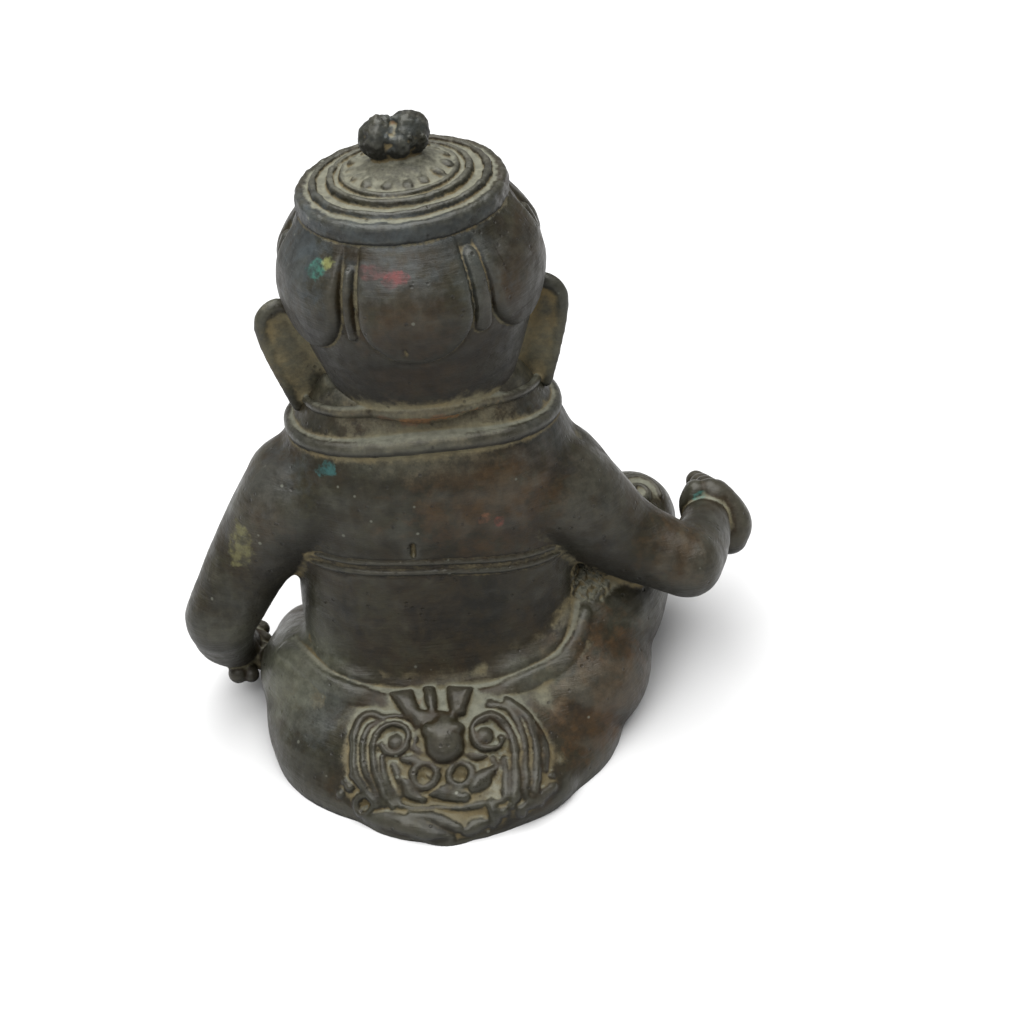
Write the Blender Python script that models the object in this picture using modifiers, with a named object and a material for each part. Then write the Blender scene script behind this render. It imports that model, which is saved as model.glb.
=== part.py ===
"""Guardian figurine: a small seated guardian in a round cap, cast in bronze as one piece.

Run with: blender --background --python part.py
Metres, +Z up. The figure sits on the floor at z = 0 and faces -Y, so its left side is +X.
Its pose, proportions and carving are shares of HEIGHT.
"""

import math

import bmesh
import bpy
from mathutils import Matrix, Vector
from mathutils.bvhtree import BVHTree

# Size
HEIGHT = 0.250

# Fineness of the form, as shares of the height
FLESH_VOXEL = 0.0066
FLESH_SMOOTHING = 8
SKIN_VOXEL = 0.0034
SKIN_SMOOTHING = 1
SURFACE_TRIANGLES = 10400
SNAP_TO_FLOOR = 0.0012

# Torso: (height, centre x, centre y, half width, half depth)
TORSO = (
    (0.080, -0.008, 0.040, 0.185, 0.130),
    (0.150, -0.008, 0.035, 0.210, 0.148),
    (0.210, -0.008, 0.028, 0.215, 0.146),
    (0.290, -0.008, 0.026, 0.212, 0.146),
    (0.365, -0.008, 0.024, 0.210, 0.146),
    (0.420, -0.008, 0.020, 0.222, 0.154),
    (0.470, -0.008, 0.012, 0.222, 0.158),
    (0.520, -0.008, 0.006, 0.200, 0.150),
    (0.560, -0.008, 0.002, 0.175, 0.140),
    (0.610, -0.010, 0.000, 0.140, 0.118),
)
TORSO_SQUARENESS = 2.35

# Seat and spread cloth: the same kind of sections, from below the floor upwards
SEAT = (
    (-0.12, -0.006, 0.075, 0.265, 0.275),
    (-0.02, -0.003, 0.072, 0.276, 0.268),
    (0.020, -0.003, 0.072, 0.286, 0.260),
    (0.060, -0.006, 0.068, 0.286, 0.238),
    (0.100, -0.008, 0.062, 0.268, 0.204),
    (0.130, -0.010, 0.058, 0.240, 0.168),
    (0.160, -0.010, 0.055, 0.200, 0.125),
)
SEAT_SQUARENESS = 2.35

# Soft masses: (centre, radii)
BELLY = ((-0.010, -0.060, 0.235), (0.190, 0.135, 0.130))
CHEST = ((-0.008, -0.050, 0.430), (0.180, 0.105, 0.080))
LAP = ((-0.010, -0.120, 0.020), (0.210, 0.150, 0.070))
RIGHT_HIP = ((-0.190, 0.055, 0.075), (0.146, 0.175, 0.120))
SEAT_CORNER = ((-0.070, 0.250, 0.020), (0.130, 0.110, 0.060))
# Soft masses that carry the shoulders into the upper arms
ARM_WEBS = (
    ((0.208, 0.048, 0.425), (0.054, 0.068, 0.064)),
    ((-0.220, 0.050, 0.405), (0.058, 0.070, 0.066)),
)

# Limbs: (x, y, z, radius) along each
LEFT_ARM = ((0.190, 0.015, 0.420, 0.080), (0.262, 0.040, 0.330, 0.066), (0.330, 0.065, 0.222, 0.056))
LEFT_FOREARM = ((0.330, 0.065, 0.218, 0.056), (0.336, 0.018, 0.145, 0.045), (0.326, -0.020, 0.092, 0.036))
RIGHT_ARM = ((-0.195, 0.015, 0.395, 0.084), (-0.290, 0.045, 0.298, 0.066), (-0.392, 0.075, 0.248, 0.055))
RIGHT_FOREARM = ((-0.392, 0.075, 0.250, 0.055), (-0.425, 0.005, 0.238, 0.047), (-0.446, -0.070, 0.228, 0.038))
LEFT_THIGH = ((0.120, 0.110, 0.090, 0.100), (0.200, 0.050, 0.076, 0.088), (0.205, -0.070, 0.050, 0.066))
LEFT_SHIN = ((0.205, -0.080, 0.044, 0.062), (0.080, -0.185, 0.042, 0.058), (-0.040, -0.225, 0.040, 0.044))
RIGHT_THIGH = ((-0.110, 0.110, 0.100, 0.105), (-0.248, 0.020, 0.130, 0.108), (-0.332, -0.165, 0.172, 0.080))
RIGHT_SHIN = ((-0.335, -0.180, 0.165, 0.074), (-0.262, -0.270, 0.090, 0.056), (-0.190, -0.290, 0.046, 0.044))

# Head and cap: the turned outline as (radius, height) round the head's axis
HEAD_AXIS = (-0.012, 0.004)
HEAD_TILT = math.radians(2.0)
HEAD_PIVOT = 0.700
HEAD_OUTLINE = (
    (0.000, 0.560), (0.118, 0.560), (0.136, 0.600), (0.149, 0.640), (0.160, 0.675), (0.170, 0.710),
    (0.176, 0.745), (0.177, 0.775), (0.171, 0.810), (0.158, 0.842), (0.146, 0.862), (0.139, 0.870),
)
CAP_TOP_OUTLINE = (
    (0.144, 0.874), (0.144, 0.886), (0.138, 0.894), (0.120, 0.896), (0.113, 0.904), (0.094, 0.905),
    (0.087, 0.913), (0.060, 0.920), (0.030, 0.932), (0.000, 0.936),
)

# Petals round the cap and the narrow straps between them
PETAL_COUNT = 6
PETAL_HALF_ANGLE = math.radians(25.0)
PETAL_TOP = 0.866
PETAL_BOTTOM = 0.700
PETAL_LIFT = 0.015
STRAP_HALF_ANGLE = math.radians(2.6)
STRAP_TOP = 0.845
STRAP_BOTTOM = 0.735
STRAP_LIFT = 0.012
PATCH_DEPTH = 0.030
PATCH_CROWN = 0.3
PATCH_LEAST_WIDTH = 0.02

# Rings on the top of the cap: (ring radius, height, cord radius)
CAP_RINGS = ((0.116, 0.901, 0.0075), (0.090, 0.911, 0.0075))

# Knob on the cap and the worn leaves round it
KNOB_LOBES = (((0.012, 0.006, 0.957), (0.030, 0.028, 0.032)), ((-0.023, 0.000, 0.961), (0.030, 0.029, 0.031)))
LEAF_COUNT = 11
LEAF_RING = 0.068
LEAF_RADII = (0.013, 0.008, 0.009)
LEAF_LEVEL = 0.917

# Face: places measured from the head's axis, for one side where there are two
FACE = ((0.000, -0.055, 0.655), (0.150, 0.132, 0.118))
CHEEK = ((0.074, -0.124, 0.636), (0.058, 0.046, 0.050))
CHIN = ((0.000, -0.140, 0.580), (0.052, 0.036, 0.030))
BROW = ((0.020, -0.178, 0.722, 0.008), (0.062, -0.176, 0.732, 0.010), (0.110, -0.144, 0.708, 0.008))
EYEBALL = ((0.060, -0.158, 0.685), (0.032, 0.024, 0.019))
EYE_LID = ((0.028, -0.174, 0.682, 0.006), (0.060, -0.180, 0.696, 0.007), (0.096, -0.152, 0.683, 0.006))
NOSE = ((0.000, -0.174, 0.712, 0.015), (0.000, -0.192, 0.680, 0.018), (0.000, -0.203, 0.655, 0.023))
NOSTRIL = ((0.024, -0.186, 0.649), (0.016, 0.017, 0.013))
UPPER_LIP = ((-0.044, -0.160, 0.618, 0.006), (0.000, -0.178, 0.622, 0.010), (0.044, -0.160, 0.618, 0.006))
LOWER_LIP = ((-0.032, -0.160, 0.610, 0.006), (0.000, -0.172, 0.606, 0.009), (0.032, -0.160, 0.610, 0.006))

# Ears, for the left side, measured from a line a little beside the head's axis
EAR_SHIFT = 0.008
RIGHT_EAR_DROP = 0.008
EAR_SHELL = ((0.168, 0.006, 0.640), (0.050, 0.015, 0.100), (0, -6, 10))
EAR_RIM = (
    (0.165, 0.004, 0.722, 0.013), (0.196, 0.008, 0.726, 0.015), (0.215, 0.012, 0.698, 0.014),
    (0.210, 0.012, 0.655, 0.013), (0.197, 0.010, 0.605, 0.013), (0.182, 0.006, 0.562, 0.014),
)

# Hands and feet
RIGHT_PALM = ((-0.462, -0.092, 0.238), (0.034, 0.032, 0.042), (0, 0, 0))
RIGHT_THUMB = ((-0.432, -0.085, 0.220, 0.024), (-0.426, -0.090, 0.244, 0.021), (-0.433, -0.094, 0.262, 0.020))
RIGHT_INDEX = (
    (-0.484, -0.062, 0.190, 0.029), (-0.492, -0.074, 0.212, 0.029), (-0.474, -0.088, 0.246, 0.025),
    (-0.456, -0.094, 0.262, 0.021),
)
RIGHT_FINGER_COUNT = 3
RIGHT_FINGER_STEP = (0.004, -0.030, -0.006)
RIGHT_FINGER_SHRINK = 0.88
LEFT_PALM = ((0.326, -0.042, 0.080), (0.037, 0.044, 0.030), (0, 0, 0))
LEFT_FINGER = ((0.338, -0.070, 0.074, 0.017), (0.315, -0.094, 0.078, 0.015), (0.290, -0.092, 0.070, 0.014))
LEFT_FINGER_COUNT = 4
LEFT_FINGER_STEP = (-0.004, 0.026, -0.004)
LEFT_THUMB = ((0.318, -0.010, 0.068, 0.018), (0.306, 0.010, 0.058, 0.013))
LEFT_FOOT = ((-0.055, -0.240, 0.034), (0.078, 0.054, 0.036), (0, 0, 4))
LEFT_TOE = ((-0.100, -0.276, 0.020), (0.034, 0.018, 0.019))
LEFT_TOE_STEP = (-0.008, 0.018, 0.005)
RIGHT_FOOT = ((-0.165, -0.300, 0.034), (0.056, 0.066, 0.042), (0, 0, 22))
RIGHT_TOE = ((-0.108, -0.334, 0.018), (0.019, 0.034, 0.020))
RIGHT_TOE_STEP = (-0.021, -0.006, 0.000)
TOE_COUNT = 5
TOE_SHRINK = 0.08

# Rings laid round the body: (height at the back, rise at the sides, rise in front, tube radius, sink)
NECK_CORD = (0.604, -0.006, -0.066, 0.0105, 0.001)
COLLAR = (0.553, -0.004, -0.052, 0.0155, 0.002)
WAIST_CORDS = ((0.381, -0.032, 0.0, 0.0064, 0.0005), (0.357, -0.032, 0.0, 0.0064, 0.0005))
WAIST_HALF_ANGLE = math.radians(66)
BELT = (0.142, 0.062, -0.020, 0.0200, 0.0070)
RING_REACH = 0.45
RING_STEPS = 72
RING_END_SHARE = 0.3

# Carving on the spread cloth behind, in a plane leaning back: (across, up) from its middle
CHART_MIDDLE = (0.012, 0.300, 0.080)
CHART_LEAN = math.radians(42.5)
CHART_TURN = math.radians(5.5)
CARVING_RADIUS = 0.0072
CARVING_SINK = -0.0020
CARVING_REACH = 0.4
CORD_END_SHARE = 0.6
VOLUTE_CENTRE = (0.073, 0.043)
VOLUTE_RADII = (0.006, 0.024)
VOLUTE_TURNS = 1.35
PLEAT = ((0.074, 0.078), (0.098, 0.080), (0.113, 0.050), (0.116, 0.008), (0.108, -0.024), (0.098, -0.050))
PLEAT_COUNT = 4
PLEAT_STEPS = (0.0081, 0.0108, 0.0135, 0.0135, 0.0135, 0.0135)
CURL_CENTRE = (0.127, -0.046)
CURL_RADII = (0.004, 0.019)
CURL_TURNS = 1.2
BEADS = (((0.146, -0.004), 0.009), ((0.154, -0.026), 0.008), ((0.168, -0.040), 0.007))
CUP_CENTRE = (0.027, -0.010)
CUP_RADIUS = 0.0175
CUP_RIM = 0.0078
CUP_PIT = 0.0070
CUP_STEPS = 12
LEAVES = (((0.056, -0.028), (0.021, 0.010), -52), ((0.040, 0.020), (0.014, 0.008), 25),
          ((0.064, 0.006), (0.013, 0.008), -15), ((0.020, -0.042), (0.017, 0.011), -25))
LEAF_RISE = 0.010
HEM = ((-0.092, -0.054), (-0.045, -0.060), (0.000, -0.063), (0.045, -0.060), (0.092, -0.054))
HEM_RADIUS = 0.0055
FOOT_LEAF = ((0.070, -0.076), (0.042, -0.088), (0.012, -0.100))
FOOT_LEAF_RADIUS = 0.0120
LIP = ((0.014, 0.338, 0.000), (0.044, 0.042, 0.013))

# Bow over the belt: (across, up, radius) in the same leaning plane
BOW_TABS = (
    ((0.052, 0.118, 0.015), (0.040, 0.092, 0.014), (0.028, 0.062, 0.013)),
    ((0.002, 0.122, 0.010), (0.006, 0.096, 0.010), (0.008, 0.066, 0.011)),
    ((-0.050, 0.118, 0.016), (-0.032, 0.098, 0.014), (-0.010, 0.070, 0.011)),
)
BOW_TAB_SINK = 0.003
BOW_KNOT = ((0.022, 0.058), 0.020)
BOW_DROP = ((-0.006, 0.030), (0.0260, 0.0330), 0.026)

# Scroll on the right knee
KNEE = (-0.335, -0.175, 0.168)
KNEE_SCROLL_TOWARDS = (-0.10, 0.45, 0.89)
KNEE_SCROLL_RADII = (0.008, 0.040)
KNEE_SCROLL_TURNS = 1.4
KNEE_CORD = 0.0060
KNEE_REACH = 0.3

# Front of the cloth: a low heap between the legs, its pleats fanning to the floor
APRON = ((-0.010, -0.190, 0.040), (0.098, 0.080, 0.078), (0, 0, 0))
APRON_PLEATS = 5
APRON_PLEAT = ((0.010, 0.112), (0.024, 0.060), (0.034, 0.012))
APRON_PLEAT_RADII = (0.0060, 0.0085, 0.0094)


def at(x, y, z):
    """A place given in shares of the height."""
    return Vector((x, y, z)) * HEIGHT


def mesh_object(name, mesh):
    """An object in the scene for a mesh."""
    obj = bpy.data.objects.new(name, mesh)
    bpy.context.scene.collection.objects.link(obj)
    return obj


def as_mesh(obj):
    """Bakes an object's modifiers or curve into a plain mesh object with welded caps."""
    bpy.context.view_layer.update()
    graph = bpy.context.evaluated_depsgraph_get()
    mesh = bpy.data.meshes.new_from_object(obj.evaluated_get(graph))
    mesh.transform(obj.matrix_world)
    name = obj.name
    bpy.data.objects.remove(obj)
    shell = bmesh.new()
    shell.from_mesh(mesh)
    bmesh.ops.remove_doubles(shell, verts=shell.verts, dist=1e-6)
    bmesh.ops.recalc_face_normals(shell, faces=shell.faces)
    shell.to_mesh(mesh)
    shell.free()
    return mesh_object(name, mesh)


def ellipsoid(name, centre, radii, turn=(0, 0, 0)):
    """A stretched ball, turned by angles in degrees."""
    bpy.ops.mesh.primitive_uv_sphere_add(segments=24, ring_count=14, radius=1)
    obj = bpy.context.object
    obj.name = name
    obj.location = at(*centre)
    obj.scale = at(*radii)
    obj.rotation_euler = [math.radians(angle) for angle in turn]
    return as_mesh(obj)


def tube(name, points, radii, closed=False):
    """A tapered tube through world points, its ends capped flat."""
    curve = bpy.data.curves.new(name, "CURVE")
    curve.dimensions = "3D"
    curve.bevel_depth = 1.0
    curve.bevel_resolution = 3
    curve.use_fill_caps = True
    curve.resolution_u = 6
    spline = curve.splines.new("BEZIER")
    spline.bezier_points.add(len(points) - 1)
    for knot, point, radius in zip(spline.bezier_points, points, radii):
        knot.co = point
        knot.radius = radius
        knot.handle_left_type = "AUTO"
        knot.handle_right_type = "AUTO"
    spline.use_cyclic_u = closed
    obj = bpy.data.objects.new(name, curve)
    bpy.context.scene.collection.objects.link(obj)
    return as_mesh(obj)


def limb(name, stations):
    """A tapered limb with round ends through (x, y, z, radius) stations."""
    points = [at(*station[:3]) for station in stations]
    radii = [station[3] * HEIGHT for station in stations]
    pieces = [tube(name, points, radii)]
    for place in (0, -1):
        radius = stations[place][3]
        pieces.append(ellipsoid(name + "_end", stations[place][:3], (radius, radius, radius)))
    return joined(name, pieces)


def lofted(name, sections, squareness, sides=48):
    """A skin over stacked rounded sections, closed flat below and above."""
    skin = bmesh.new()
    rows = []
    for height, centre_x, centre_y, half_width, half_depth in sections:
        row = []
        for step in range(sides):
            angle = 2 * math.pi * step / sides
            cosine = math.cos(angle)
            sine = math.sin(angle)
            x = centre_x + half_width * math.copysign(abs(cosine) ** (2 / squareness), cosine)
            y = centre_y + half_depth * math.copysign(abs(sine) ** (2 / squareness), sine)
            row.append(skin.verts.new(at(x, y, height)))
        rows.append(row)
    for lower, upper in zip(rows, rows[1:]):
        for step in range(sides):
            after = (step + 1) % sides
            skin.faces.new((lower[step], lower[after], upper[after], upper[step]))
    skin.faces.new(rows[0][::-1])
    skin.faces.new(rows[-1])
    mesh = bpy.data.meshes.new(name)
    skin.to_mesh(mesh)
    skin.free()
    return mesh_object(name, mesh)


def turned(name, outline, steps=96):
    """An outline of (radius, height) turned round the upright axis."""
    mesh = bpy.data.meshes.new(name)
    verts = [at(radius, 0, height) for radius, height in outline]
    mesh.from_pydata(verts, [(i, i + 1) for i in range(len(verts) - 1)], [])
    obj = mesh_object(name, mesh)
    screw = obj.modifiers.new("Turn", "SCREW")
    screw.steps = steps
    screw.render_steps = steps
    screw.use_merge_vertices = True
    screw.merge_threshold = 1e-6
    return as_mesh(obj)


def joined(name, objects):
    """One mesh object holding the shells of several, still overlapping."""
    shells = bmesh.new()
    for obj in objects:
        shells.from_mesh(obj.data)
        bpy.data.objects.remove(obj)
    mesh = bpy.data.meshes.new(name)
    shells.to_mesh(mesh)
    shells.free()
    return mesh_object(name, mesh)


def fused(obj, voxel, smoothing):
    """Melts overlapping shells into one skin and softens it."""
    remesh = obj.modifiers.new("Fuse", "REMESH")
    remesh.mode = "VOXEL"
    remesh.voxel_size = voxel * HEIGHT
    soften = obj.modifiers.new("Soften", "SMOOTH")
    soften.factor = 0.5
    soften.iterations = smoothing
    return as_mesh(obj)


def mirrored(place, side):
    """A place, or a station with its radius, on the left (side 1) or the right (side -1)."""
    return (place[0] * side, *place[1:])


def surface_of(objects):
    """A tree for finding where a line first meets these objects."""
    shells = bmesh.new()
    for obj in objects:
        shells.from_mesh(obj.data)
    tree = BVHTree.FromBMesh(shells)
    shells.free()
    return tree


def outline_radius(height):
    """Radius of the head's turned outline at a height."""
    for (r0, z0), (r1, z1) in zip(HEAD_OUTLINE[1:], HEAD_OUTLINE[2:]):
        if z0 <= height <= z1:
            return r0 + (r1 - r0) * (height - z0) / (z1 - z0)
    return HEAD_OUTLINE[-1][0]


def patch(name, middle, half_angle, top, bottom, lift, columns=14, rows=16):
    """A raised patch on the head, as wide as half_angle each way, with a round lower end."""
    width = half_angle * outline_radius((top + bottom) / 2)
    grid = bmesh.new()
    table = []
    for row in range(rows + 1):
        height = top + (bottom - top) * math.sin(row / rows * math.pi / 2)
        from_end = height - bottom
        share = 1.0
        if from_end < width:
            share = math.sqrt(max(0.0, 1 - (1 - from_end / width) ** 2))
        line = []
        for column in range(columns + 1):
            across = 2 * column / columns - 1
            angle = middle + half_angle * max(share, PATCH_LEAST_WIDTH) * across
            bulge = lift * (1 - PATCH_CROWN * across * across)
            radius = outline_radius(height) + bulge
            line.append(grid.verts.new(at(radius * math.sin(angle), radius * math.cos(angle), height)))
        table.append(line)
    for upper, lower in zip(table, table[1:]):
        for column in range(columns):
            grid.faces.new((upper[column], upper[column + 1], lower[column + 1], lower[column]))
    mesh = bpy.data.meshes.new(name)
    grid.to_mesh(mesh)
    grid.free()
    obj = mesh_object(name, mesh)
    depth = obj.modifiers.new("Depth", "SOLIDIFY")
    depth.thickness = PATCH_DEPTH * HEIGHT
    depth.offset = -1
    return as_mesh(obj)


def flesh():
    """Torso, seat, arms and legs melted together."""
    masses = [
        *trunk(),
        ellipsoid("lap", *LAP),
        ellipsoid("apron", *APRON),
        *(ellipsoid("arm_web", *web) for web in ARM_WEBS),
        limb("left_arm", LEFT_ARM),
        limb("left_forearm", LEFT_FOREARM),
        limb("right_arm", RIGHT_ARM),
        limb("right_forearm", RIGHT_FOREARM),
        limb("left_thigh", LEFT_THIGH),
        limb("left_shin", LEFT_SHIN),
        limb("right_thigh", RIGHT_THIGH),
        limb("right_shin", RIGHT_SHIN),
    ]
    return fused(joined("flesh", masses), FLESH_VOXEL, FLESH_SMOOTHING)


def trunk():
    """The shells that the rings are laid on: everything but the limbs."""
    return [
        lofted("torso", TORSO, TORSO_SQUARENESS),
        lofted("seat", SEAT, SEAT_SQUARENESS),
        ellipsoid("belly", *BELLY),
        ellipsoid("chest", *CHEST),
        ellipsoid("right_hip", *RIGHT_HIP),
        ellipsoid("seat_corner", *SEAT_CORNER),
    ]


def petals():
    """Petals all round the cap, one square behind, with a strap between each two."""
    pieces = []
    for index in range(PETAL_COUNT):
        middle = 2 * math.pi * index / PETAL_COUNT
        between = middle + math.pi / PETAL_COUNT
        pieces.append(patch("petal", middle, PETAL_HALF_ANGLE, PETAL_TOP, PETAL_BOTTOM, PETAL_LIFT))
        pieces.append(patch("strap", between, STRAP_HALF_ANGLE, STRAP_TOP, STRAP_BOTTOM, STRAP_LIFT))
    return pieces


def cap_carving():
    """Raised rings on the flat of the cap and a ring of worn leaves inside them."""
    pieces = []
    for radius, height, cord_radius in CAP_RINGS:
        bpy.ops.mesh.primitive_torus_add(
            location=at(0, 0, height), major_radius=radius * HEIGHT, minor_radius=cord_radius * HEIGHT,
            major_segments=72, minor_segments=10
        )
        pieces.append(as_mesh(bpy.context.object))
    for index in range(LEAF_COUNT):
        angle = 2 * math.pi * index / LEAF_COUNT
        centre = (LEAF_RING * math.cos(angle), LEAF_RING * math.sin(angle), LEAF_LEVEL)
        pieces.append(ellipsoid("cap_leaf", centre, LEAF_RADII, (0, 0, math.degrees(angle) + 20)))
    return pieces


def face():
    """A calm, plain face with lowered lids and closed lips."""
    pieces = [
        ellipsoid("face", *FACE),
        ellipsoid("chin", *CHIN),
        limb("nose", NOSE),
        limb("upper_lip", UPPER_LIP),
        limb("lower_lip", LOWER_LIP),
    ]
    for side in (1, -1):
        pieces.append(ellipsoid("cheek", mirrored(CHEEK[0], side), CHEEK[1]))
        pieces.append(ellipsoid("eye", mirrored(EYEBALL[0], side), EYEBALL[1]))
        pieces.append(ellipsoid("nostril", mirrored(NOSTRIL[0], side), NOSTRIL[1]))
        pieces.append(limb("brow", [mirrored(station, side) for station in BROW]))
        pieces.append(limb("lid", [mirrored(station, side) for station in EYE_LID]))
    return pieces


def ear_place(place, side):
    """A place on the left ear, or its mirror on the right ear, which sits a little lower."""
    x, y, z, *rest = mirrored(place, side)
    drop = RIGHT_EAR_DROP if side < 0 else 0
    return (x + EAR_SHIFT, y, z - drop, *rest)


def ears():
    """Broad ears standing out from the head, each with a rolled rim."""
    pieces = []
    for side in (1, -1):
        centre, radii, turn = EAR_SHELL
        lean = (turn[0], turn[1] * side, turn[2] * side)
        pieces.append(ellipsoid("ear_shell", ear_place(centre, side), radii, lean))
        pieces.append(limb("ear_rim", [ear_place(station, side) for station in EAR_RIM]))
    return pieces


def head():
    """Head, cap, knob, face and ears, leaning a little to the figure's left."""
    pieces = [turned("skull", HEAD_OUTLINE + CAP_TOP_OUTLINE), *petals(), *cap_carving(), *face(), *ears()]
    whole = joined("head", pieces)
    whole.location = at(*HEAD_AXIS, HEAD_PIVOT)
    whole.rotation_euler.y = HEAD_TILT
    whole.data.transform(Matrix.Translation(at(0, 0, -HEAD_PIVOT)))
    return as_mesh(whole)


def stepped(stations, step, index, shrink=1.0):
    """Stations moved by a number of steps, each thinner by shrink."""
    return [
        (x + step[0] * index, y + step[1] * index, z + step[2] * index, radius * shrink ** index)
        for x, y, z, radius in stations
    ]


def hands():
    """The raised right hand, its first finger meeting the thumb, and the left hand by the knee."""
    pieces = [
        ellipsoid("right_palm", *RIGHT_PALM),
        limb("right_thumb", RIGHT_THUMB),
        limb("right_finger", RIGHT_INDEX),
        ellipsoid("left_palm", *LEFT_PALM),
        limb("left_thumb", LEFT_THUMB),
    ]
    for index in range(1, RIGHT_FINGER_COUNT + 1):
        finger = stepped(RIGHT_INDEX, RIGHT_FINGER_STEP, index, RIGHT_FINGER_SHRINK)
        pieces.append(limb("right_finger", finger))
    for index in range(LEFT_FINGER_COUNT):
        pieces.append(limb("left_finger", stepped(LEFT_FINGER, LEFT_FINGER_STEP, index)))
    return pieces


def feet():
    """Two feet, each with a row of toes that shrink outwards."""
    pieces = []
    for foot, toe, step in ((LEFT_FOOT, LEFT_TOE, LEFT_TOE_STEP), (RIGHT_FOOT, RIGHT_TOE, RIGHT_TOE_STEP)):
        pieces.append(ellipsoid("foot", *foot))
        centre, radii = toe
        for index in range(TOE_COUNT):
            place = [start + move * index for start, move in zip(centre, step)]
            shrink = 1 - TOE_SHRINK * index
            pieces.append(ellipsoid("toe", place, [radius * shrink for radius in radii]))
    return pieces


def ring(surface, settings, half_angle=math.pi):
    """A cord laid round the body behind: from -half_angle to half_angle, 0 being straight back."""
    level, side_rise, front_rise, radius, sink = settings
    whole = half_angle >= math.pi
    steps = RING_STEPS if whole else round(RING_STEPS * half_angle / math.pi)
    points = []
    for step in range(steps if whole else steps + 1):
        angle = -half_angle + 2 * half_angle * step / steps
        height = level + side_rise * math.sin(angle) ** 2 + front_rise * (1 - math.cos(angle)) / 2
        outward = Vector((math.sin(angle), math.cos(angle), 0))
        start = at(*HEAD_AXIS, height) + outward * RING_REACH * HEIGHT
        hit, _, _, _ = surface.ray_cast(start, -outward)
        points.append(hit - outward * sink * HEIGHT)
    radii = [radius * HEIGHT] * len(points)
    if not whole:
        radii[0] *= RING_END_SHARE
        radii[-1] *= RING_END_SHARE
    return tube("ring", points, radii, whole)


def on_cloth(surface, across, up, sink=CARVING_SINK):
    """Where a place on the leaning plane behind falls on the body."""
    turned_across = across * math.cos(CHART_TURN) - up * math.sin(CHART_TURN)
    turned_up = across * math.sin(CHART_TURN) + up * math.cos(CHART_TURN)
    upward = Vector((0, -math.sin(CHART_LEAN), math.cos(CHART_LEAN)))
    inward = Vector((0, -math.cos(CHART_LEAN), -math.sin(CHART_LEAN)))
    aside = Vector((1, 0, 0)) * turned_across + upward * turned_up
    start = at(*CHART_MIDDLE) + (aside - inward * CARVING_REACH) * HEIGHT
    hit, _, _, _ = surface.ray_cast(start, inward)
    return hit + inward * sink * HEIGHT


def cord(surface, places, radius, sink=CARVING_SINK):
    """A thin cord laid on the spread cloth through (across, up) places."""
    points = [on_cloth(surface, across, up, sink) for across, up in places]
    radii = [radius * HEIGHT] * len(points)
    radii[0] *= CORD_END_SHARE
    radii[-1] *= CORD_END_SHARE
    return tube("cord", points, radii)


def spiral(centre, radii, turns, start, side, steps=16):
    """Places along a spiral that opens from the inner radius to the outer one."""
    places = []
    for step in range(steps + 1):
        share = step / steps
        angle = start - side * 2 * math.pi * turns * (1 - share)
        radius = radii[0] + (radii[1] - radii[0]) * share
        places.append((centre[0] + radius * math.cos(angle), centre[1] + radius * math.sin(angle)))
    return places


def pad(surface, name, place, radii, rise, angle=0):
    """A small raised lobe on the spread cloth, its long side turned by an angle in degrees."""
    obj = ellipsoid(name, (0, 0, 0), (*radii, rise), (0, 0, angle + math.degrees(CHART_TURN)))
    obj.rotation_euler.x = CHART_LEAN - math.pi / 2
    obj.location = on_cloth(surface, *place, 0)
    return as_mesh(obj)


def bow(surface):
    """Three tabs fanning from a knot, with the drop of the knot hanging below."""
    pieces = []
    for stations in BOW_TABS:
        points = [on_cloth(surface, across, up, BOW_TAB_SINK) for across, up, _ in stations]
        pieces.append(tube("bow_tab", points, [radius * HEIGHT for _, _, radius in stations]))
        pieces.extend(
            pad(surface, "bow_tab_end", (across, up), (radius, radius), radius)
            for across, up, radius in (stations[0], stations[-1])
        )
    place, radius = BOW_KNOT
    pieces.append(pad(surface, "bow_knot", place, (radius, radius), radius))
    place, radii, rise = BOW_DROP
    pieces.append(pad(surface, "bow_drop", place, radii, rise))
    return pieces


def cloth_carving(surface):
    """Volutes, pleats, curls, cups and leaves in mirrored pairs, over a hem and a lip on the floor."""
    pieces = []
    for side in (1, -1):
        centre = mirrored(VOLUTE_CENTRE, side)
        places = spiral(centre, VOLUTE_RADII, VOLUTE_TURNS, math.pi / 2, -side)
        pieces.append(cord(surface, places, CARVING_RADIUS))
        for index in range(PLEAT_COUNT):
            places = [
                mirrored((across + step * (index - 1), up), side)
                for (across, up), step in zip(PLEAT, PLEAT_STEPS)
            ]
            pieces.append(cord(surface, places, CARVING_RADIUS))
        centre = mirrored(CURL_CENTRE, side)
        places = spiral(centre, CURL_RADII, CURL_TURNS, math.pi / 2 - side * math.pi / 2, side)
        pieces.append(cord(surface, places, CARVING_RADIUS))
        for place, radius in BEADS:
            pieces.append(pad(surface, "bead", mirrored(place, side), (radius, radius), radius))
        cup = mirrored(CUP_CENTRE, side)
        rim = spiral(cup, (CUP_RADIUS, CUP_RADIUS), 1, 0, 1, CUP_STEPS)[:-1]
        points = [on_cloth(surface, *place) for place in rim]
        pieces.append(tube("cup", points, [CUP_RIM * HEIGHT] * len(points), True))
        pieces.append(pad(surface, "cup_pit", cup, (CUP_PIT, CUP_PIT), CUP_PIT))
        for place, radii, angle in LEAVES:
            pieces.append(pad(surface, "leaf", mirrored(place, side), radii, LEAF_RISE, angle * side))
        pieces.append(cord(surface, [mirrored(place, side) for place in FOOT_LEAF], FOOT_LEAF_RADIUS))
    pieces.append(cord(surface, HEM, HEM_RADIUS))
    pieces.append(ellipsoid("lip", *LIP))
    return pieces


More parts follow.
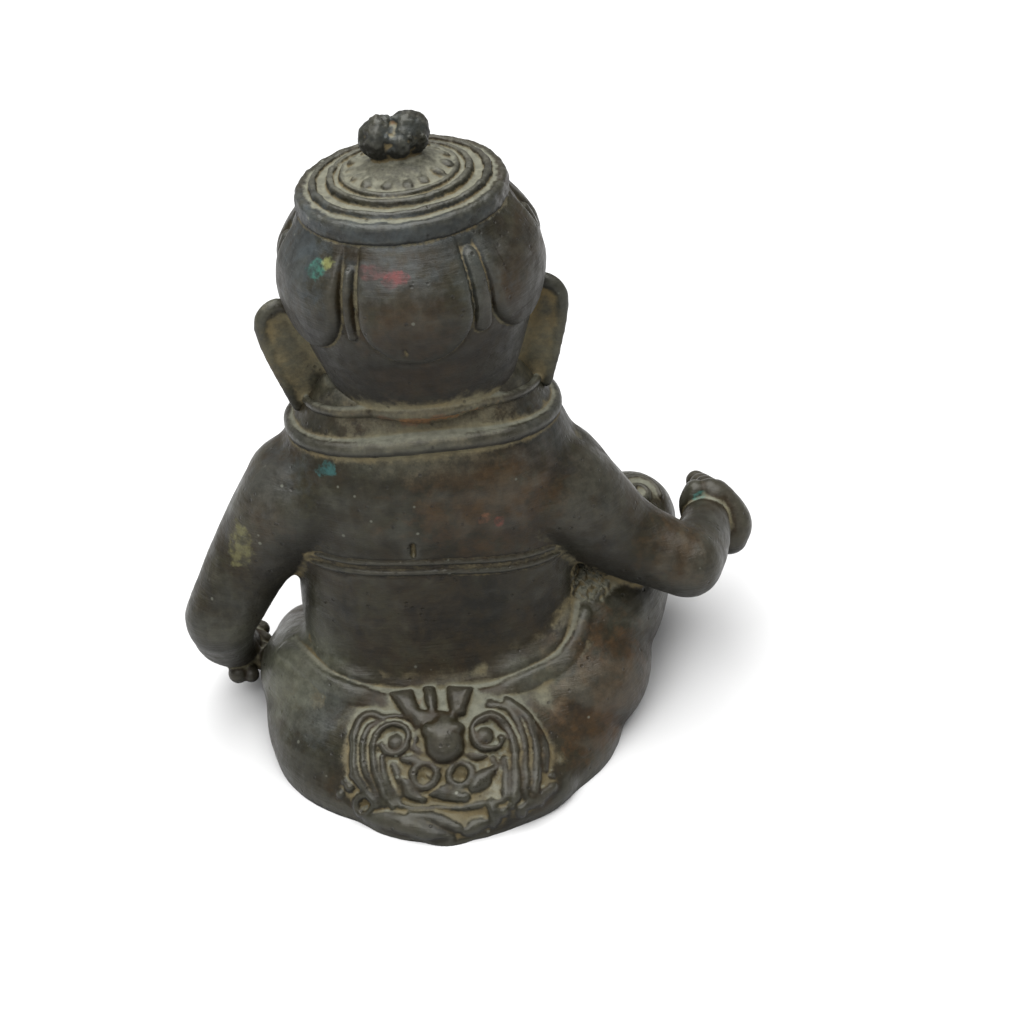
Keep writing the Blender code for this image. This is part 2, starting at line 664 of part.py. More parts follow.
def knee_scroll(surface):
    """A scroll of cord over the top of the right knee."""
    outward = Vector(KNEE_SCROLL_TOWARDS).normalized()
    sideways = outward.cross(Vector((0, 1, 0))).normalized()
    upward = sideways.cross(outward)
    points = []
    for across, up in spiral((0, 0), KNEE_SCROLL_RADII, KNEE_SCROLL_TURNS, 0, 1):
        start = at(*KNEE) + (outward * KNEE_REACH + sideways * across + upward * up) * HEIGHT
        hit, _, _, _ = surface.ray_cast(start, -outward)
        points.append(hit)
    return [tube("knee_scroll", points, [KNEE_CORD * HEIGHT] * len(points))]


def apron(surface):
    """The end of the waist cloth in front: pleats laid over the heap between the legs."""
    pieces = []
    inward = Vector((0, 1, 0))
    for index in range(APRON_PLEATS):
        spread = index - (APRON_PLEATS - 1) / 2
        points = []
        for across, height in APRON_PLEAT:
            start = at(APRON[0][0] + across * spread, -RING_REACH, height)
            hit, _, _, _ = surface.ray_cast(start, inward)
            points.append(hit)
        pieces.append(tube("apron_pleat", points, [radius * HEIGHT for radius in APRON_PLEAT_RADII]))
    return pieces


def cut_on_floor(obj):
    """Cuts the skin off flat on the floor and closes the underside."""
    skin = bmesh.new()
    skin.from_mesh(obj.data)
    geometry = [*skin.verts, *skin.edges, *skin.faces]
    snap = SNAP_TO_FLOOR * HEIGHT
    bmesh.ops.bisect_plane(
        skin, geom=geometry, dist=snap, plane_co=(0, 0, 0), plane_no=(0, 0, -1), clear_outer=True
    )
    for vert in skin.verts:
        if vert.co.z < snap:
            vert.co.z = 0
    edges = [edge for edge in skin.edges if edge.is_boundary]
    bmesh.ops.contextual_create(skin, geom=edges)
    bmesh.ops.recalc_face_normals(skin, faces=skin.faces)
    skin.to_mesh(obj.data)
    skin.free()


def centred(obj):
    """Moves the skin so that its box stands centred over the origin."""
    across = [vert.co.x for vert in obj.data.vertices]
    along = [vert.co.y for vert in obj.data.vertices]
    middle = Vector(((min(across) + max(across)) / 2, (min(along) + max(along)) / 2, 0))
    obj.data.transform(Matrix.Translation(-middle))


def bronze():
    """Dark patinated bronze."""
    material = bpy.data.materials.new("dark_bronze")
    material.use_nodes = True
    shader = material.node_tree.nodes["Principled BSDF"]
    shader.inputs["Base Color"].default_value = (0.060, 0.048, 0.034, 1)
    shader.inputs["Metallic"].default_value = 0.7
    shader.inputs["Roughness"].default_value = 0.45
    return material


def main():
    """Clears the scene and casts the figure."""
    for obj in list(bpy.data.objects):
        bpy.data.objects.remove(obj)
    body = flesh()
    top = head()
    ground = surface_of([body, top])
    core = trunk()
    waist = surface_of([*core, top])
    for shell in core:
        bpy.data.objects.remove(shell)
    pieces = [body, top, *hands(), *feet(), *apron(ground)]
    pieces += [ellipsoid("knob", *lobe) for lobe in KNOB_LOBES]
    pieces += [ring(waist, NECK_CORD), ring(waist, COLLAR), ring(waist, BELT)]
    pieces += [ring(waist, cords, WAIST_HALF_ANGLE) for cords in WAIST_CORDS]
    pieces += [*cloth_carving(ground), *bow(ground), *knee_scroll(ground)]
    figure = fused(joined("guardian_figure", pieces), SKIN_VOXEL, SKIN_SMOOTHING)
    thin = figure.modifiers.new("Facets", "DECIMATE")
    thin.ratio = SURFACE_TRIANGLES / sum(len(face.vertices) - 2 for face in figure.data.polygons)
    figure = as_mesh(figure)
    cut_on_floor(figure)
    centred(figure)
    figure.name = "guardian_figure"
    figure.data.materials.append(bronze())
    for polygon in figure.data.polygons:
        polygon.use_smooth = True
    collection = bpy.data.collections.new("guardian_figurine")
    bpy.context.scene.collection.children.link(collection)
    collection.objects.link(figure)
    bpy.context.scene.collection.objects.unlink(figure)


main()
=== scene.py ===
"""Guardian figurine: a seated guardian in a round cap, cast in bronze and dark with age.

Every shape is worked out in shares of the figure's height, in the figure's own frame: it sits on
z = 0 and faces -Y, so its left side is +X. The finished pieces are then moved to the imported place.
"""

import math

import bmesh
import bpy
import numpy as np
from mathutils import Matrix, Vector
from mathutils.bvhtree import BVHTree


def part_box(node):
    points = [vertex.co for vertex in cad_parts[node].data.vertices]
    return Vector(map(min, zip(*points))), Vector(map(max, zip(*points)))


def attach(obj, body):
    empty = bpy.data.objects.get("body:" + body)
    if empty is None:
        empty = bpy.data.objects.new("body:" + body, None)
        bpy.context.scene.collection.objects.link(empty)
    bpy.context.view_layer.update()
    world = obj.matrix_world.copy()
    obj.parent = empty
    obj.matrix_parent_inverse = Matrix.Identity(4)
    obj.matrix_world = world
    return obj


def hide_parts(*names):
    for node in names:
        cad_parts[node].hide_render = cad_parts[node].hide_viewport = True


bl_info = {
    "name": "Guardian figurine",
    "version": (1, 0, 0),
    "blender": (4, 5, 0),
    "location": "View3D > Sidebar > Guardian",
    "description": "Casts a seated guardian figurine in dark bronze",
    "category": "Add Mesh",
}

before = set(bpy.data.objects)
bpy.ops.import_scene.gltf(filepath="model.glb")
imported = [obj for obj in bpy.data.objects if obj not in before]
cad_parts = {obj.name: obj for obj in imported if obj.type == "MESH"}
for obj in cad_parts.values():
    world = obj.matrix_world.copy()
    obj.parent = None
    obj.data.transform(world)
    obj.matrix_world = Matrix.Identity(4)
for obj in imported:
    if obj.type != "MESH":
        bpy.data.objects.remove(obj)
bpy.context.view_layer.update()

NODE = "guardian_figure"

# The knob's top, as a share of the nominal height that every size below is a share of
KNOB_TOP = 0.992
PACKED_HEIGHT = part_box(NODE)[1].z / KNOB_TOP
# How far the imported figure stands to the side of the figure's own frame
PACKED_SHIFT = (0.0679 * PACKED_HEIGHT, 0.0, 0.0)

# Triangles of each finished piece
PIECE_TRIANGLES = 195000
# Voxels and softening of the limbs (shares of the height) and of the face (metres), before the fine skin
FLESH_MELT = (0.0066, 14)
FACE_MELT = (0.0011, 4)
SKIN_SOFTENING = 2
# The head's skin is finer than the body's by this
HEAD_FINENESS = 0.8
# The bare skull: its top, and how far it lies inside the cap's outline
SKULL_TOP = 0.87
SKULL_INSET = 0.001
# Length of the waves in the cast skin, in metres, and their seed
CAST_WAVES = (0.018, 5)
# Skin nearer to the floor than this, in metres, lies on it
FLOOR_SNAP = 0.0001

# Torso and seat: (height, centre x, centre y, half width, half depth)
TORSO = (
    (0.08, -0.008, 0.04, 0.185, 0.13),
    (0.15, -0.008, 0.035, 0.21, 0.148),
    (0.21, -0.008, 0.028, 0.215, 0.146),
    (0.29, -0.008, 0.026, 0.212, 0.146),
    (0.365, -0.008, 0.024, 0.21, 0.146),
    (0.42, -0.008, 0.02, 0.222, 0.154),
    (0.47, -0.008, 0.012, 0.222, 0.158),
    (0.52, -0.008, 0.006, 0.2, 0.15),
    (0.56, -0.008, 0.002, 0.175, 0.14),
    (0.61, -0.01, 0.0, 0.14, 0.118),
)
SEAT = (
    (-0.12, -0.006, 0.075, 0.265, 0.275),
    (-0.02, -0.003, 0.072, 0.276, 0.268),
    (0.02, -0.003, 0.072, 0.286, 0.26),
    (0.06, -0.006, 0.068, 0.286, 0.238),
    (0.1, -0.008, 0.062, 0.268, 0.204),
    (0.13, -0.01, 0.058, 0.24, 0.168),
    (0.16, -0.01, 0.055, 0.2, 0.125),
)
SQUARENESS = 2.35

# Soft masses: (centre, radii)
BELLY = ((-0.01, -0.06, 0.235), (0.19, 0.135, 0.13))
CHEST = ((-0.008, -0.05, 0.43), (0.18, 0.105, 0.08))
LAP = ((-0.01, -0.12, 0.02), (0.21, 0.15, 0.07))
APRON = ((-0.01, -0.19, 0.04), (0.098, 0.08, 0.078))
RIGHT_HIP = ((-0.19, 0.055, 0.075), (0.146, 0.175, 0.12))
SEAT_CORNER = ((-0.07, 0.25, 0.02), (0.13, 0.11, 0.06))
LIP = ((0.01, 0.325, 0.0), (0.062, 0.056, 0.016))
BASE_SWELL = ((0.0, 0.272, 0.0), (0.155, 0.104, 0.045))
# Soft masses that carry the shoulders into the upper arms: (x, y, z, radius) along each
ARM_WEBS = (
    ((0.12, 0.055, 0.435, 0.088), (0.195, 0.046, 0.408, 0.083), (0.256, 0.042, 0.335, 0.068)),
    ((-0.13, 0.055, 0.425, 0.088), (-0.205, 0.05, 0.385, 0.086), (-0.284, 0.046, 0.302, 0.068)),
)

# Limbs: (x, y, z, radius) along each
LIMBS = (
    ((0.19, 0.015, 0.42, 0.08), (0.262, 0.04, 0.33, 0.066), (0.33, 0.065, 0.222, 0.056)),
    ((0.33, 0.065, 0.218, 0.056), (0.336, 0.018, 0.145, 0.045), (0.326, -0.02, 0.092, 0.036)),
    ((-0.195, 0.015, 0.395, 0.084), (-0.29, 0.045, 0.298, 0.066), (-0.392, 0.075, 0.248, 0.055)),
    ((-0.392, 0.075, 0.25, 0.055), (-0.425, 0.005, 0.238, 0.047), (-0.446, -0.07, 0.228, 0.038)),
    ((0.12, 0.11, 0.09, 0.1), (0.2, 0.05, 0.076, 0.088), (0.205, -0.07, 0.05, 0.066)),
    ((0.205, -0.08, 0.044, 0.062), (0.08, -0.185, 0.042, 0.058), (-0.04, -0.225, 0.04, 0.044)),
    ((-0.11, 0.11, 0.1, 0.105), (-0.248, 0.02, 0.13, 0.108), (-0.332, -0.165, 0.172, 0.08)),
    ((-0.335, -0.18, 0.165, 0.074), (-0.262, -0.27, 0.09, 0.056), (-0.19, -0.29, 0.046, 0.044)),
)

# Hands: palms as (centre, radii), fingers as stations like the limbs
RIGHT_PALM = ((-0.462, -0.092, 0.238), (0.034, 0.032, 0.042))
RIGHT_THUMB = ((-0.432, -0.085, 0.22, 0.024), (-0.426, -0.09, 0.244, 0.021), (-0.433, -0.094, 0.262, 0.02))
RIGHT_FINGER = (
    (-0.484, -0.062, 0.19, 0.029), (-0.492, -0.074, 0.212, 0.029), (-0.474, -0.088, 0.246, 0.025),
    (-0.456, -0.094, 0.262, 0.021),
)
RIGHT_FINGERS = 4
RIGHT_FINGER_STEP = (0.003, -0.025, -0.01)
RIGHT_FINGER_SHRINK = 0.94
LEFT_PALM = ((0.326, -0.042, 0.08), (0.037, 0.044, 0.03))
LEFT_THUMB = ((0.318, -0.01, 0.068, 0.018), (0.306, 0.01, 0.058, 0.013))
LEFT_FINGER = ((0.338, -0.07, 0.074, 0.017), (0.315, -0.094, 0.078, 0.015), (0.29, -0.092, 0.07, 0.014))
LEFT_FINGERS = 4
LEFT_FINGER_STEP = (-0.004, 0.026, -0.004)

# Feet: (foot centre, radii, turn), (first toe centre, radii), step to the next toe
FEET = (
    (((-0.055, -0.24, 0.034), (0.078, 0.054, 0.036), 4), ((-0.1, -0.276, 0.02), (0.034, 0.018, 0.019)),
     (-0.008, 0.018, 0.005)),
    (((-0.165, -0.3, 0.034), (0.056, 0.066, 0.042), 22), ((-0.108, -0.334, 0.018), (0.019, 0.034, 0.02)),
     (-0.021, -0.006, 0.0)),
)
TOES = 5
TOE_SHRINK = 0.08

# Head: its axis, its lean to the figure's left, and its outline as (radius, height) round that axis
HEAD_AXIS = (-0.012, 0.004)
HEAD_LEAN = math.radians(2.0)
HEAD_PIVOT = 0.7
SKULL = (
    (0.118, 0.545), (0.136, 0.6), (0.149, 0.64), (0.16, 0.675), (0.17, 0.71), (0.1755, 0.745),
    (0.176, 0.775), (0.171, 0.805), (0.161, 0.835), (0.1505, 0.857), (0.146, 0.8655),
)
CAP_TOP = (
    (0.143, 0.8665), (0.143, 0.868), (0.1465, 0.869), (0.1475, 0.872), (0.1472, 0.882), (0.146, 0.8905),
    (0.1435, 0.8945), (0.1395, 0.896), (0.133, 0.895), (0.1265, 0.895), (0.125, 0.902), (0.1235, 0.9045),
    (0.118, 0.905), (0.116, 0.9035), (0.115, 0.8995), (0.108, 0.899), (0.102, 0.8995), (0.1003, 0.907),
    (0.099, 0.91), (0.093, 0.911), (0.091, 0.9095), (0.09, 0.9055), (0.084, 0.9055), (0.0825, 0.91),
    (0.0805, 0.9125), (0.076, 0.9125), (0.0745, 0.9105), (0.06, 0.918), (0.04, 0.926), (0.02, 0.932),
    (0.0, 0.935),
)

# Petals round the cap: the first is square behind, and the one in front is cut short over the brow
PETALS = 6
PETAL_HALF_ANGLE = math.radians(25.5)
PETAL_BOTTOMS = (0.7, 0.704, 0.725, 0.765, 0.725, 0.704)
PETAL_LIFT = 0.015
PETAL_EDGE = 0.013
PETAL_FADE = (0.878, 0.805)
CAP_RADIUS = 0.1735
PETAL_GROOVE = 0.0036
GROOVE_WIDTH = 0.003
GROOVE_OUTSIDE = 0.0012
GROOVE_FADING = 0.7
# Wear at the lower end: the share of the relief that is gone, and the height over which it comes back
PETAL_WEAR = (0.3, 0.075)
STRAP_WEAR = (0.45, 0.05)
STRAP_FADING = 0.6
# Straps between the petals: (half width, bottom, top), the first to the figure's left of the back petal
STRAPS = (
    (0.007, 0.738, 0.842), (0.01, 0.745, 0.84), (0.009, 0.77, 0.84), (0.009, 0.77, 0.84), (0.01, 0.745, 0.84),
    (0.0125, 0.73, 0.85),
)
STRAP_LIFT = 0.0125
STRAP_EDGE = 0.006

# Knob: worn lobes with crumbs on them, and the worn leaves round it
KNOB = (
    ((0.016, 0.006, 0.956), (0.029, 0.028, 0.031)), ((-0.022, 0.0, 0.96), (0.029, 0.029, 0.031)),
    ((-0.004, 0.014, 0.952), (0.024, 0.022, 0.022)), ((-0.004, -0.012, 0.955), (0.025, 0.022, 0.024)),
)
KNOB_CRUMBS = 26
KNOB_CRUMB_SIZES = (0.0045, 0.0085)
CAP_LEAVES = 15
CAP_LEAF_RING = 0.062
CAP_LEAF_SIZE = (0.014, 0.009, 0.008)
CAP_LEAF_LEVEL = 0.913
# How far a leaf strays: round the ring in degrees, across it, in size, and in its own turn; and its tilt
CAP_LEAF_STRAY = (4, 0.003, (0.75, 1.15), 25)
CAP_LEAF_TILT = 12
# Crumbs: how far up the knob's skin they keep, how deep they sit and how flat they are
CRUMB_RISE = (0.8, -0.2)
CRUMB_DEPTH = 0.92
CRUMB_FLATNESS = 0.8
# Wear towards the top: (depth, height where it starts, where it is full, seed), and its length
TOP_WEAR = ((0.0026, 0.928, 0.945, 41), (0.0011, 0.855, 0.875, 42))
TOP_WEAR_LENGTH = 0.03

# Face, one side where there are two, measured from the head's axis
FACE = ((0.0, -0.055, 0.655), (0.15, 0.132, 0.118))
CHEEK = ((0.072, -0.128, 0.628), (0.06, 0.046, 0.052))
CHIN = ((0.0, -0.142, 0.58), (0.05, 0.038, 0.03))
BROW = ((0.02, -0.181, 0.704, 0.009), (0.058, -0.177, 0.72, 0.011), (0.108, -0.146, 0.706, 0.009))
EYE = ((0.058, -0.16, 0.682), (0.033, 0.024, 0.019))
LID = ((0.027, -0.176, 0.68, 0.005), (0.058, -0.183, 0.692, 0.006), (0.094, -0.156, 0.68, 0.005))
NOSE = ((0.0, -0.176, 0.706, 0.014), (0.0, -0.193, 0.674, 0.017), (0.0, -0.204, 0.648, 0.022))
NOSTRIL = ((0.022, -0.187, 0.643), (0.016, 0.017, 0.013))
LIPS = (
    ((-0.044, -0.163, 0.613, 0.006), (0.0, -0.182, 0.618, 0.01), (0.044, -0.163, 0.613, 0.006)),
    ((-0.034, -0.163, 0.606, 0.006), (0.0, -0.176, 0.601, 0.01), (0.034, -0.163, 0.606, 0.006)),
)

# Ears: a flat plate out to a rolled rim, for the left side
EAR_SHIFT = 0.008
RIGHT_EAR_DROP = 0.008
EAR_RIM = (
    (0.16, 0.004, 0.716, 0.0105), (0.19, 0.008, 0.728, 0.0115), (0.213, 0.012, 0.708, 0.011),
    (0.212, 0.012, 0.668, 0.0095), (0.2, 0.01, 0.615, 0.0085), (0.182, 0.006, 0.56, 0.01),
)
EAR_ROOT = ((0.125, 0.002, 0.7), (0.125, 0.002, 0.56))
EAR_THICKNESS = 0.0125

# Rings round the body: (height behind, rise at the sides, rise in front, tube radius, sink)
NECK_CORD = (0.604, -0.006, -0.066, 0.0105, 0.001)
COLLAR = (0.553, -0.004, -0.052, 0.0155, 0.002)
# Lines round the back: (height behind, rise at the sides, tilt, half width, height)
WAIST_LINES = ((0.363, -0.02, 0.015, 0.0042, 0.0026), (0.346, -0.02, 0.015, 0.0048, 0.0032))
WAIST_HALF_ANGLE = math.radians(66)
# The grooves beside the lines: depth and width
WAIST_GROOVE = (0.0016, 0.0026)
RING_REACH = 0.45
RING_THINNING = 0.35
RING_STEPS = 96

# Carving on the cloth behind, on a chart that leans back: places are (across, up) from its middle
CHART_MIDDLE = (0.0, 0.3, 0.08)
CHART_LEAN = math.radians(42.5)
CHART_REACH = (-0.25, 0.3, -0.13, 0.27)
# How far worn outlines wander, and over what length
CARVING_WANDER = 0.0013
CARVING_WANDER_LENGTH = 0.055
# Uneven wear of the relief: strength and length
CARVING_WEAR = (0.1, 0.045)
# Steps of softening by handling, and how far each step goes
WEAR_STEPS = 4
WEAR_SHARE = 0.6
# Hollows and edges at three scales: (steps of softening, offset that counts as full in metres, share of the
# scale in the hollows, share in the edges)
HOLLOW_SCALES = ((4, 0.0001, 0.3, 0.45), (16, 0.0003, 0.45, 0.35), (60, 0.0009, 0.35, 0.1))
# How far the skin must face the chart for the carving to start and to be whole, and how far in it may lie
CARVING_FACING = (0.05, 0.35)
CARVING_REACH_IN = -0.13
# Low ground under the marks: height, and depth at its edge from nothing to whole
PANEL_RISE = (0.006, -0.03, 0.02)
BELT_RISE = (0.0045, 0.015)
BELT_CREASE = (0.004, 0.0058)
# Pleats spread and settle with wear
PLEAT_SPREAD = 1.25
PLEAT_SETTLED = 0.95
HEM_BAND = (0.005, 0.0036)
PIT_DEPTH = 0.006
PIT_FLOOR = 0.3
VALLEY = (0.001, 0.0012)
MARK_FILLET = 0.0016
MARK_WIPED = 0.15

# Cords: (path, half width, height)
PLEATS = (
    (((0.092, 0.082), (0.114, 0.09), (0.131, 0.078),
      (0.139, 0.05), (0.141, 0.012), (0.128, -0.018), (0.114, -0.042)), 0.006, 0.0095),
    (((0.1, 0.078), (0.116, 0.068), (0.125, 0.044), (0.126, 0.01),
      (0.114, -0.02), (0.102, -0.046)), 0.0055, 0.0075),
    (((0.104, 0.06), (0.111, 0.04), (0.112, 0.008), (0.101, -0.022), (0.089, -0.05)), 0.0055, 0.009),
    (((0.099, 0.026), (0.099, 0.004), (0.09, -0.024), (0.078, -0.05)), 0.0052, 0.007),
    (((0.084, 0.012), (0.078, -0.01), (0.078, -0.034)), 0.0055, 0.005),
    (((-0.046, 0.064), (-0.068, 0.07), (-0.088, 0.05), (-0.095, 0.014),
      (-0.094, -0.02), (-0.089, -0.052)), 0.007, 0.01),
    (((-0.066, 0.088), (-0.094, 0.078), (-0.107, 0.05), (-0.11, 0.014),
      (-0.109, -0.016), (-0.104, -0.05)), 0.0062, 0.008),
    (((-0.092, 0.09), (-0.116, 0.068), (-0.125, 0.04), (-0.127, 0.01),
      (-0.124, -0.016), (-0.119, -0.046)), 0.0062, 0.0095),
    (((-0.118, 0.064), (-0.136, 0.036), (-0.14, 0.008), (-0.136, -0.016)), 0.005, 0.006),
    (((-0.078, 0.002), (-0.08, -0.022), (-0.076, -0.05)), 0.0055, 0.0065),
)
# Slabs with a level top: (corners, height, edge)
TABS = (
    (((0.082, 0.121), (0.048, 0.123), (0.034, 0.082), (0.058, 0.072)), 0.015, 0.012),
    (((0.03, 0.125), (0.013, 0.124), (0.011, 0.074), (0.027, 0.074)), 0.0135, 0.0085),
    (((-0.005, 0.123), (-0.046, 0.117), (-0.027, 0.074), (-0.003, 0.07)), 0.016, 0.012),
)
# Soft leaves and flaps: (path of (across, up, half width), height)
LEAVES = (
    (((0.07, 0.02, 0.004), (0.052, 0.017, 0.0095), (0.032, 0.008, 0.004)), 0.008),
    (((0.058, 0.034, 0.005), (0.044, 0.03, 0.009), (0.03, 0.022, 0.006)), 0.0065),
    (((0.07, -0.012, 0.005), (0.062, -0.028, 0.012), (0.044, -0.044, 0.008)), 0.0105),
    (((0.03, -0.036, 0.007), (0.012, -0.036, 0.015), (-0.018, -0.044, 0.008)), 0.0105),
    (((-0.03, -0.034, 0.007), (-0.044, -0.024, 0.0135), (-0.06, -0.012, 0.006)), 0.011),
    (((-0.018, 0.018, 0.005), (-0.034, 0.014, 0.009), (-0.052, 0.012, 0.005)), 0.0075),
    (((-0.062, 0.006, 0.006), (-0.066, -0.008, 0.007), (-0.062, -0.02, 0.004)), 0.0065),
)
FLAPS = (
    (((0.13, -0.06, 0.008), (0.09, -0.07, 0.015), (0.05, -0.086, 0.014), (0.012, -0.1, 0.008)), 0.008),
    (((0.066, -0.064, 0.006), (0.03, -0.074, 0.009), (-0.004, -0.088, 0.007)), 0.0075),
    (((-0.014, -0.094, 0.007), (-0.03, -0.086, 0.011), (-0.05, -0.08, 0.007)), 0.0085),
    (((-0.054, -0.058, 0.007), (-0.058, -0.074, 0.0105), (-0.052, -0.088, 0.006)), 0.009),
    (((-0.096, -0.068, 0.007), (-0.124, -0.056, 0.0115), (-0.15, -0.042, 0.006)), 0.0085),
)
# Beads: (across, up, radius)
BEADS = (
    (0.141, 0.004, 0.008), (0.15, -0.012, 0.0075), (0.166, -0.022, 0.0065), (0.158, -0.004, 0.005),
    (-0.108, -0.056, 0.008), (-0.126, -0.062, 0.0075), (-0.146, -0.044, 0.008), (-0.098, -0.074, 0.008),
    (-0.148, -0.026, 0.005), (-0.084, -0.062, 0.006), (-0.072, -0.07, 0.007), (0.014, 0.001, 0.005),
)
# Rings round an eye: (centre, inner and outer radius, turns, end angle, side, half width, height)
SCROLLS = (
    ((0.08, 0.048), (0.018, 0.0265), 0.9, 20, -1, 0.0056, 0.0105),
    ((0.08, 0.05), (0.033, 0.035), 0.4, 60, -1, 0.0048, 0.007),
    ((-0.06, 0.044), (0.0195, 0.0285), 0.85, 150, 1, 0.006, 0.0115),
    ((0.13, -0.042), (0.0115, 0.019), 1.0, 195, 1, 0.0056, 0.0085),
    ((0.04, -0.006), (0.0175, 0.0175), 1.0, 0, 1, 0.008, 0.0085),
    ((-0.014, -0.012), (0.0175, 0.0175), 1.0, 0, 1, 0.008, 0.009),
)
EYES = ((0.077, 0.042, 0.014, 0.01), (-0.054, 0.04, 0.0155, 0.0115), (0.036, -0.01, 0.005, 0.0035))
PITS = (
    (0.044, -0.012, 0.0085), (-0.015, -0.018, 0.009), (0.13, -0.042, 0.0075), (0.082, 0.062, 0.0075),
    (-0.07, 0.03, 0.008),
)
HEM = ((0.092, -0.046), (0.06, -0.055), (0.03, -0.059), (0.0, -0.06), (-0.035, -0.057), (-0.072, -0.056))
KNOT = ((0.046, 0.08, 0.012), (0.034, 0.072, 0.016), (0.012, 0.07, 0.015), (-0.008, 0.071, 0.01))
DROP_TOP = ((0.026, 0.055, 0.013), (0.006, 0.057, 0.015), (-0.013, 0.054, 0.012))
DROP = ((0.007, 0.05, 0.029), (0.006, 0.033, 0.029))
# The bow's soft parts: (path, height, edge, fillet)
BOW = ((KNOT, 0.0165, 0.014, 0.004), (DROP, 0.027, 0.024, 0.003), (DROP_TOP, 0.0265, 0.013, 0.003))
PANEL = (
    (0.118, 0.05, 0.03), (0.11, -0.01, 0.045), (0.06, 0.01, 0.08), (-0.01, 0.0, 0.09), (-0.09, 0.01, 0.055),
    (-0.105, 0.05, 0.03),
)
BELT_TOP = (
    (0.24, 0.245), (0.2, 0.196), (0.166, 0.16), (0.094, 0.131), (0.04, 0.122), (0.006, 0.118),
    (-0.04, 0.12), (-0.085, 0.125), (-0.14, 0.142), (-0.179, 0.161), (-0.205, 0.2), (-0.218, 0.25),
)
BELT = (
    (0.262, 0.226, 0.012), (0.212, 0.182, 0.016), (0.172, 0.146, 0.017), (0.12, 0.118, 0.016),
    (0.06, 0.102, 0.014), (-0.05, 0.102, 0.013), (-0.11, 0.116, 0.014), (-0.168, 0.136, 0.015),
    (-0.206, 0.168, 0.014), (-0.226, 0.215, 0.01),
)
# Fine cuts and creases on the skin behind: (path in space, half width, depth)
CUTS = (
    (((0.0255, 0.17, 0.398), (0.0258, 0.17, 0.39), (0.0262, 0.17, 0.38)), 0.0034, 0.01),
)
CAP_CUTS = (
    (((-0.113, 0.106, 0.879), (-0.114, 0.117, 0.862), (-0.122, 0.126, 0.845),
      (-0.137, 0.14, 0.81)), 0.001, 0.0012),
    (((0.01, 0.187, 0.731), (0.008, 0.187, 0.724)), 0.0026, 0.004),
)
# A broken, crumbled place under the right arm: (centre, radius, roughness)
CHIP = ((-0.238, 0.078, 0.235), 0.042, 0.006)

# Scroll on the right knee and the pleats of the cloth end in front
KNEE = (-0.335, -0.175, 0.168)
KNEE_SCROLL_TOWARDS = (-0.1, 0.45, 0.89)
KNEE_SCROLL_RADII = (0.008, 0.04)
KNEE_SCROLL_TURNS = 1.4
KNEE_CORD = 0.006
KNEE_REACH = 0.3
APRON_PLEATS = 5
APRON_PLEAT = ((0.01, 0.112, 0.006), (0.024, 0.06, 0.0085), (0.034, 0.012, 0.0094))

# Camera: its place and aim in shares of the height, its roll and its focal length in millimetres
CAMERA_PLACE = (0.0, 2.3745, 1.9838)
CAMERA_AIM = (-0.12585, 0.0775, 0.37595)
CAMERA_ROLL = math.radians(-3.5)
CAMERA_LENS = 66.02
CAMERA_NEAREST = 0.01
# Lights: (place, aim, side), in metres
OVERHEAD = ((0.15, 0.1, 2.3), (0.0, 0.0, 0.0), 3.2)
CAMERA_SIDE = ((0.35, 0.75, 0.75), (0.0, 0.0, 0.12), 0.5)
FLOOR_HALF = 6
FLOOR_ROUGHNESS = 0.9


def spiral(centre, radii, turns, end_angle, side, steps=22):
    """Places on a spiral: the angle runs evenly and the radius grows evenly from the inner to the outer."""
    share = np.linspace(0, 1, steps)
    angle = end_angle - side * 2 * math.pi * turns * (1 - share)
    radius = radii[0] + (radii[1] - radii[0]) * share
    return np.stack((centre[0] + radius * np.cos(angle), centre[1] + radius * np.sin(angle)), 1)


def with_width(places, half_width):
    """Adds an even half width to places."""
    places = np.array(places, float)
    return np.column_stack((places, np.full(len(places), half_width)))


def place(*share):
    """A place in metres from shares of the height."""
    return np.array(share, float) * PACKED_HEIGHT


def grid_quads(rows, columns, loop_rows=False, loop_columns=True):
    """The quads of a grid of points: each joins a point, the next in its row and the two above."""
    row = np.arange(rows if loop_rows else rows - 1)
    column = np.arange(columns if loop_columns else columns - 1)
    row, column = np.meshgrid(row, column, indexing="ij")
    above = (row + 1) % rows
    after = (column + 1) % columns
    row, above = row * columns, above * columns
    return np.stack((row + column, row + after, above + after, above + column), -1).reshape(-1, 4)


def shape_of(grid, loop_rows=False, loop_columns=True):
    """A shape, its points and its quads, from a grid of points."""
    rows, columns = grid.shape[:2]
    return grid.reshape(-1, 3), grid_quads(rows, columns, loop_rows, loop_columns)


def turn_about(angles):
    """A matrix for turns about X, Y and Z in degrees."""
    return np.array(Matrix.Rotation(math.radians(angles[2]), 3, "Z")
                    @ Matrix.Rotation(math.radians(angles[1]), 3, "Y")
                    @ Matrix.Rotation(math.radians(angles[0]), 3, "X"))


def ball(centre, radii, turn=(0, 0, 0), rows=36, columns=60):
    """P(u, v) = centre + turn (a sin v cos u, b sin v sin u, c cos v), u round and v from pole to pole."""
    round_it = np.linspace(0, 2 * math.pi, columns, endpoint=False)
    v, u = np.meshgrid(np.linspace(math.pi, 0, rows), round_it, indexing="ij")
    unit = np.stack((np.sin(v) * np.cos(u), np.sin(v) * np.sin(u), np.cos(v)), -1)
    return shape_of((unit * place(*radii)) @ turn_about(turn).T + place(*centre))


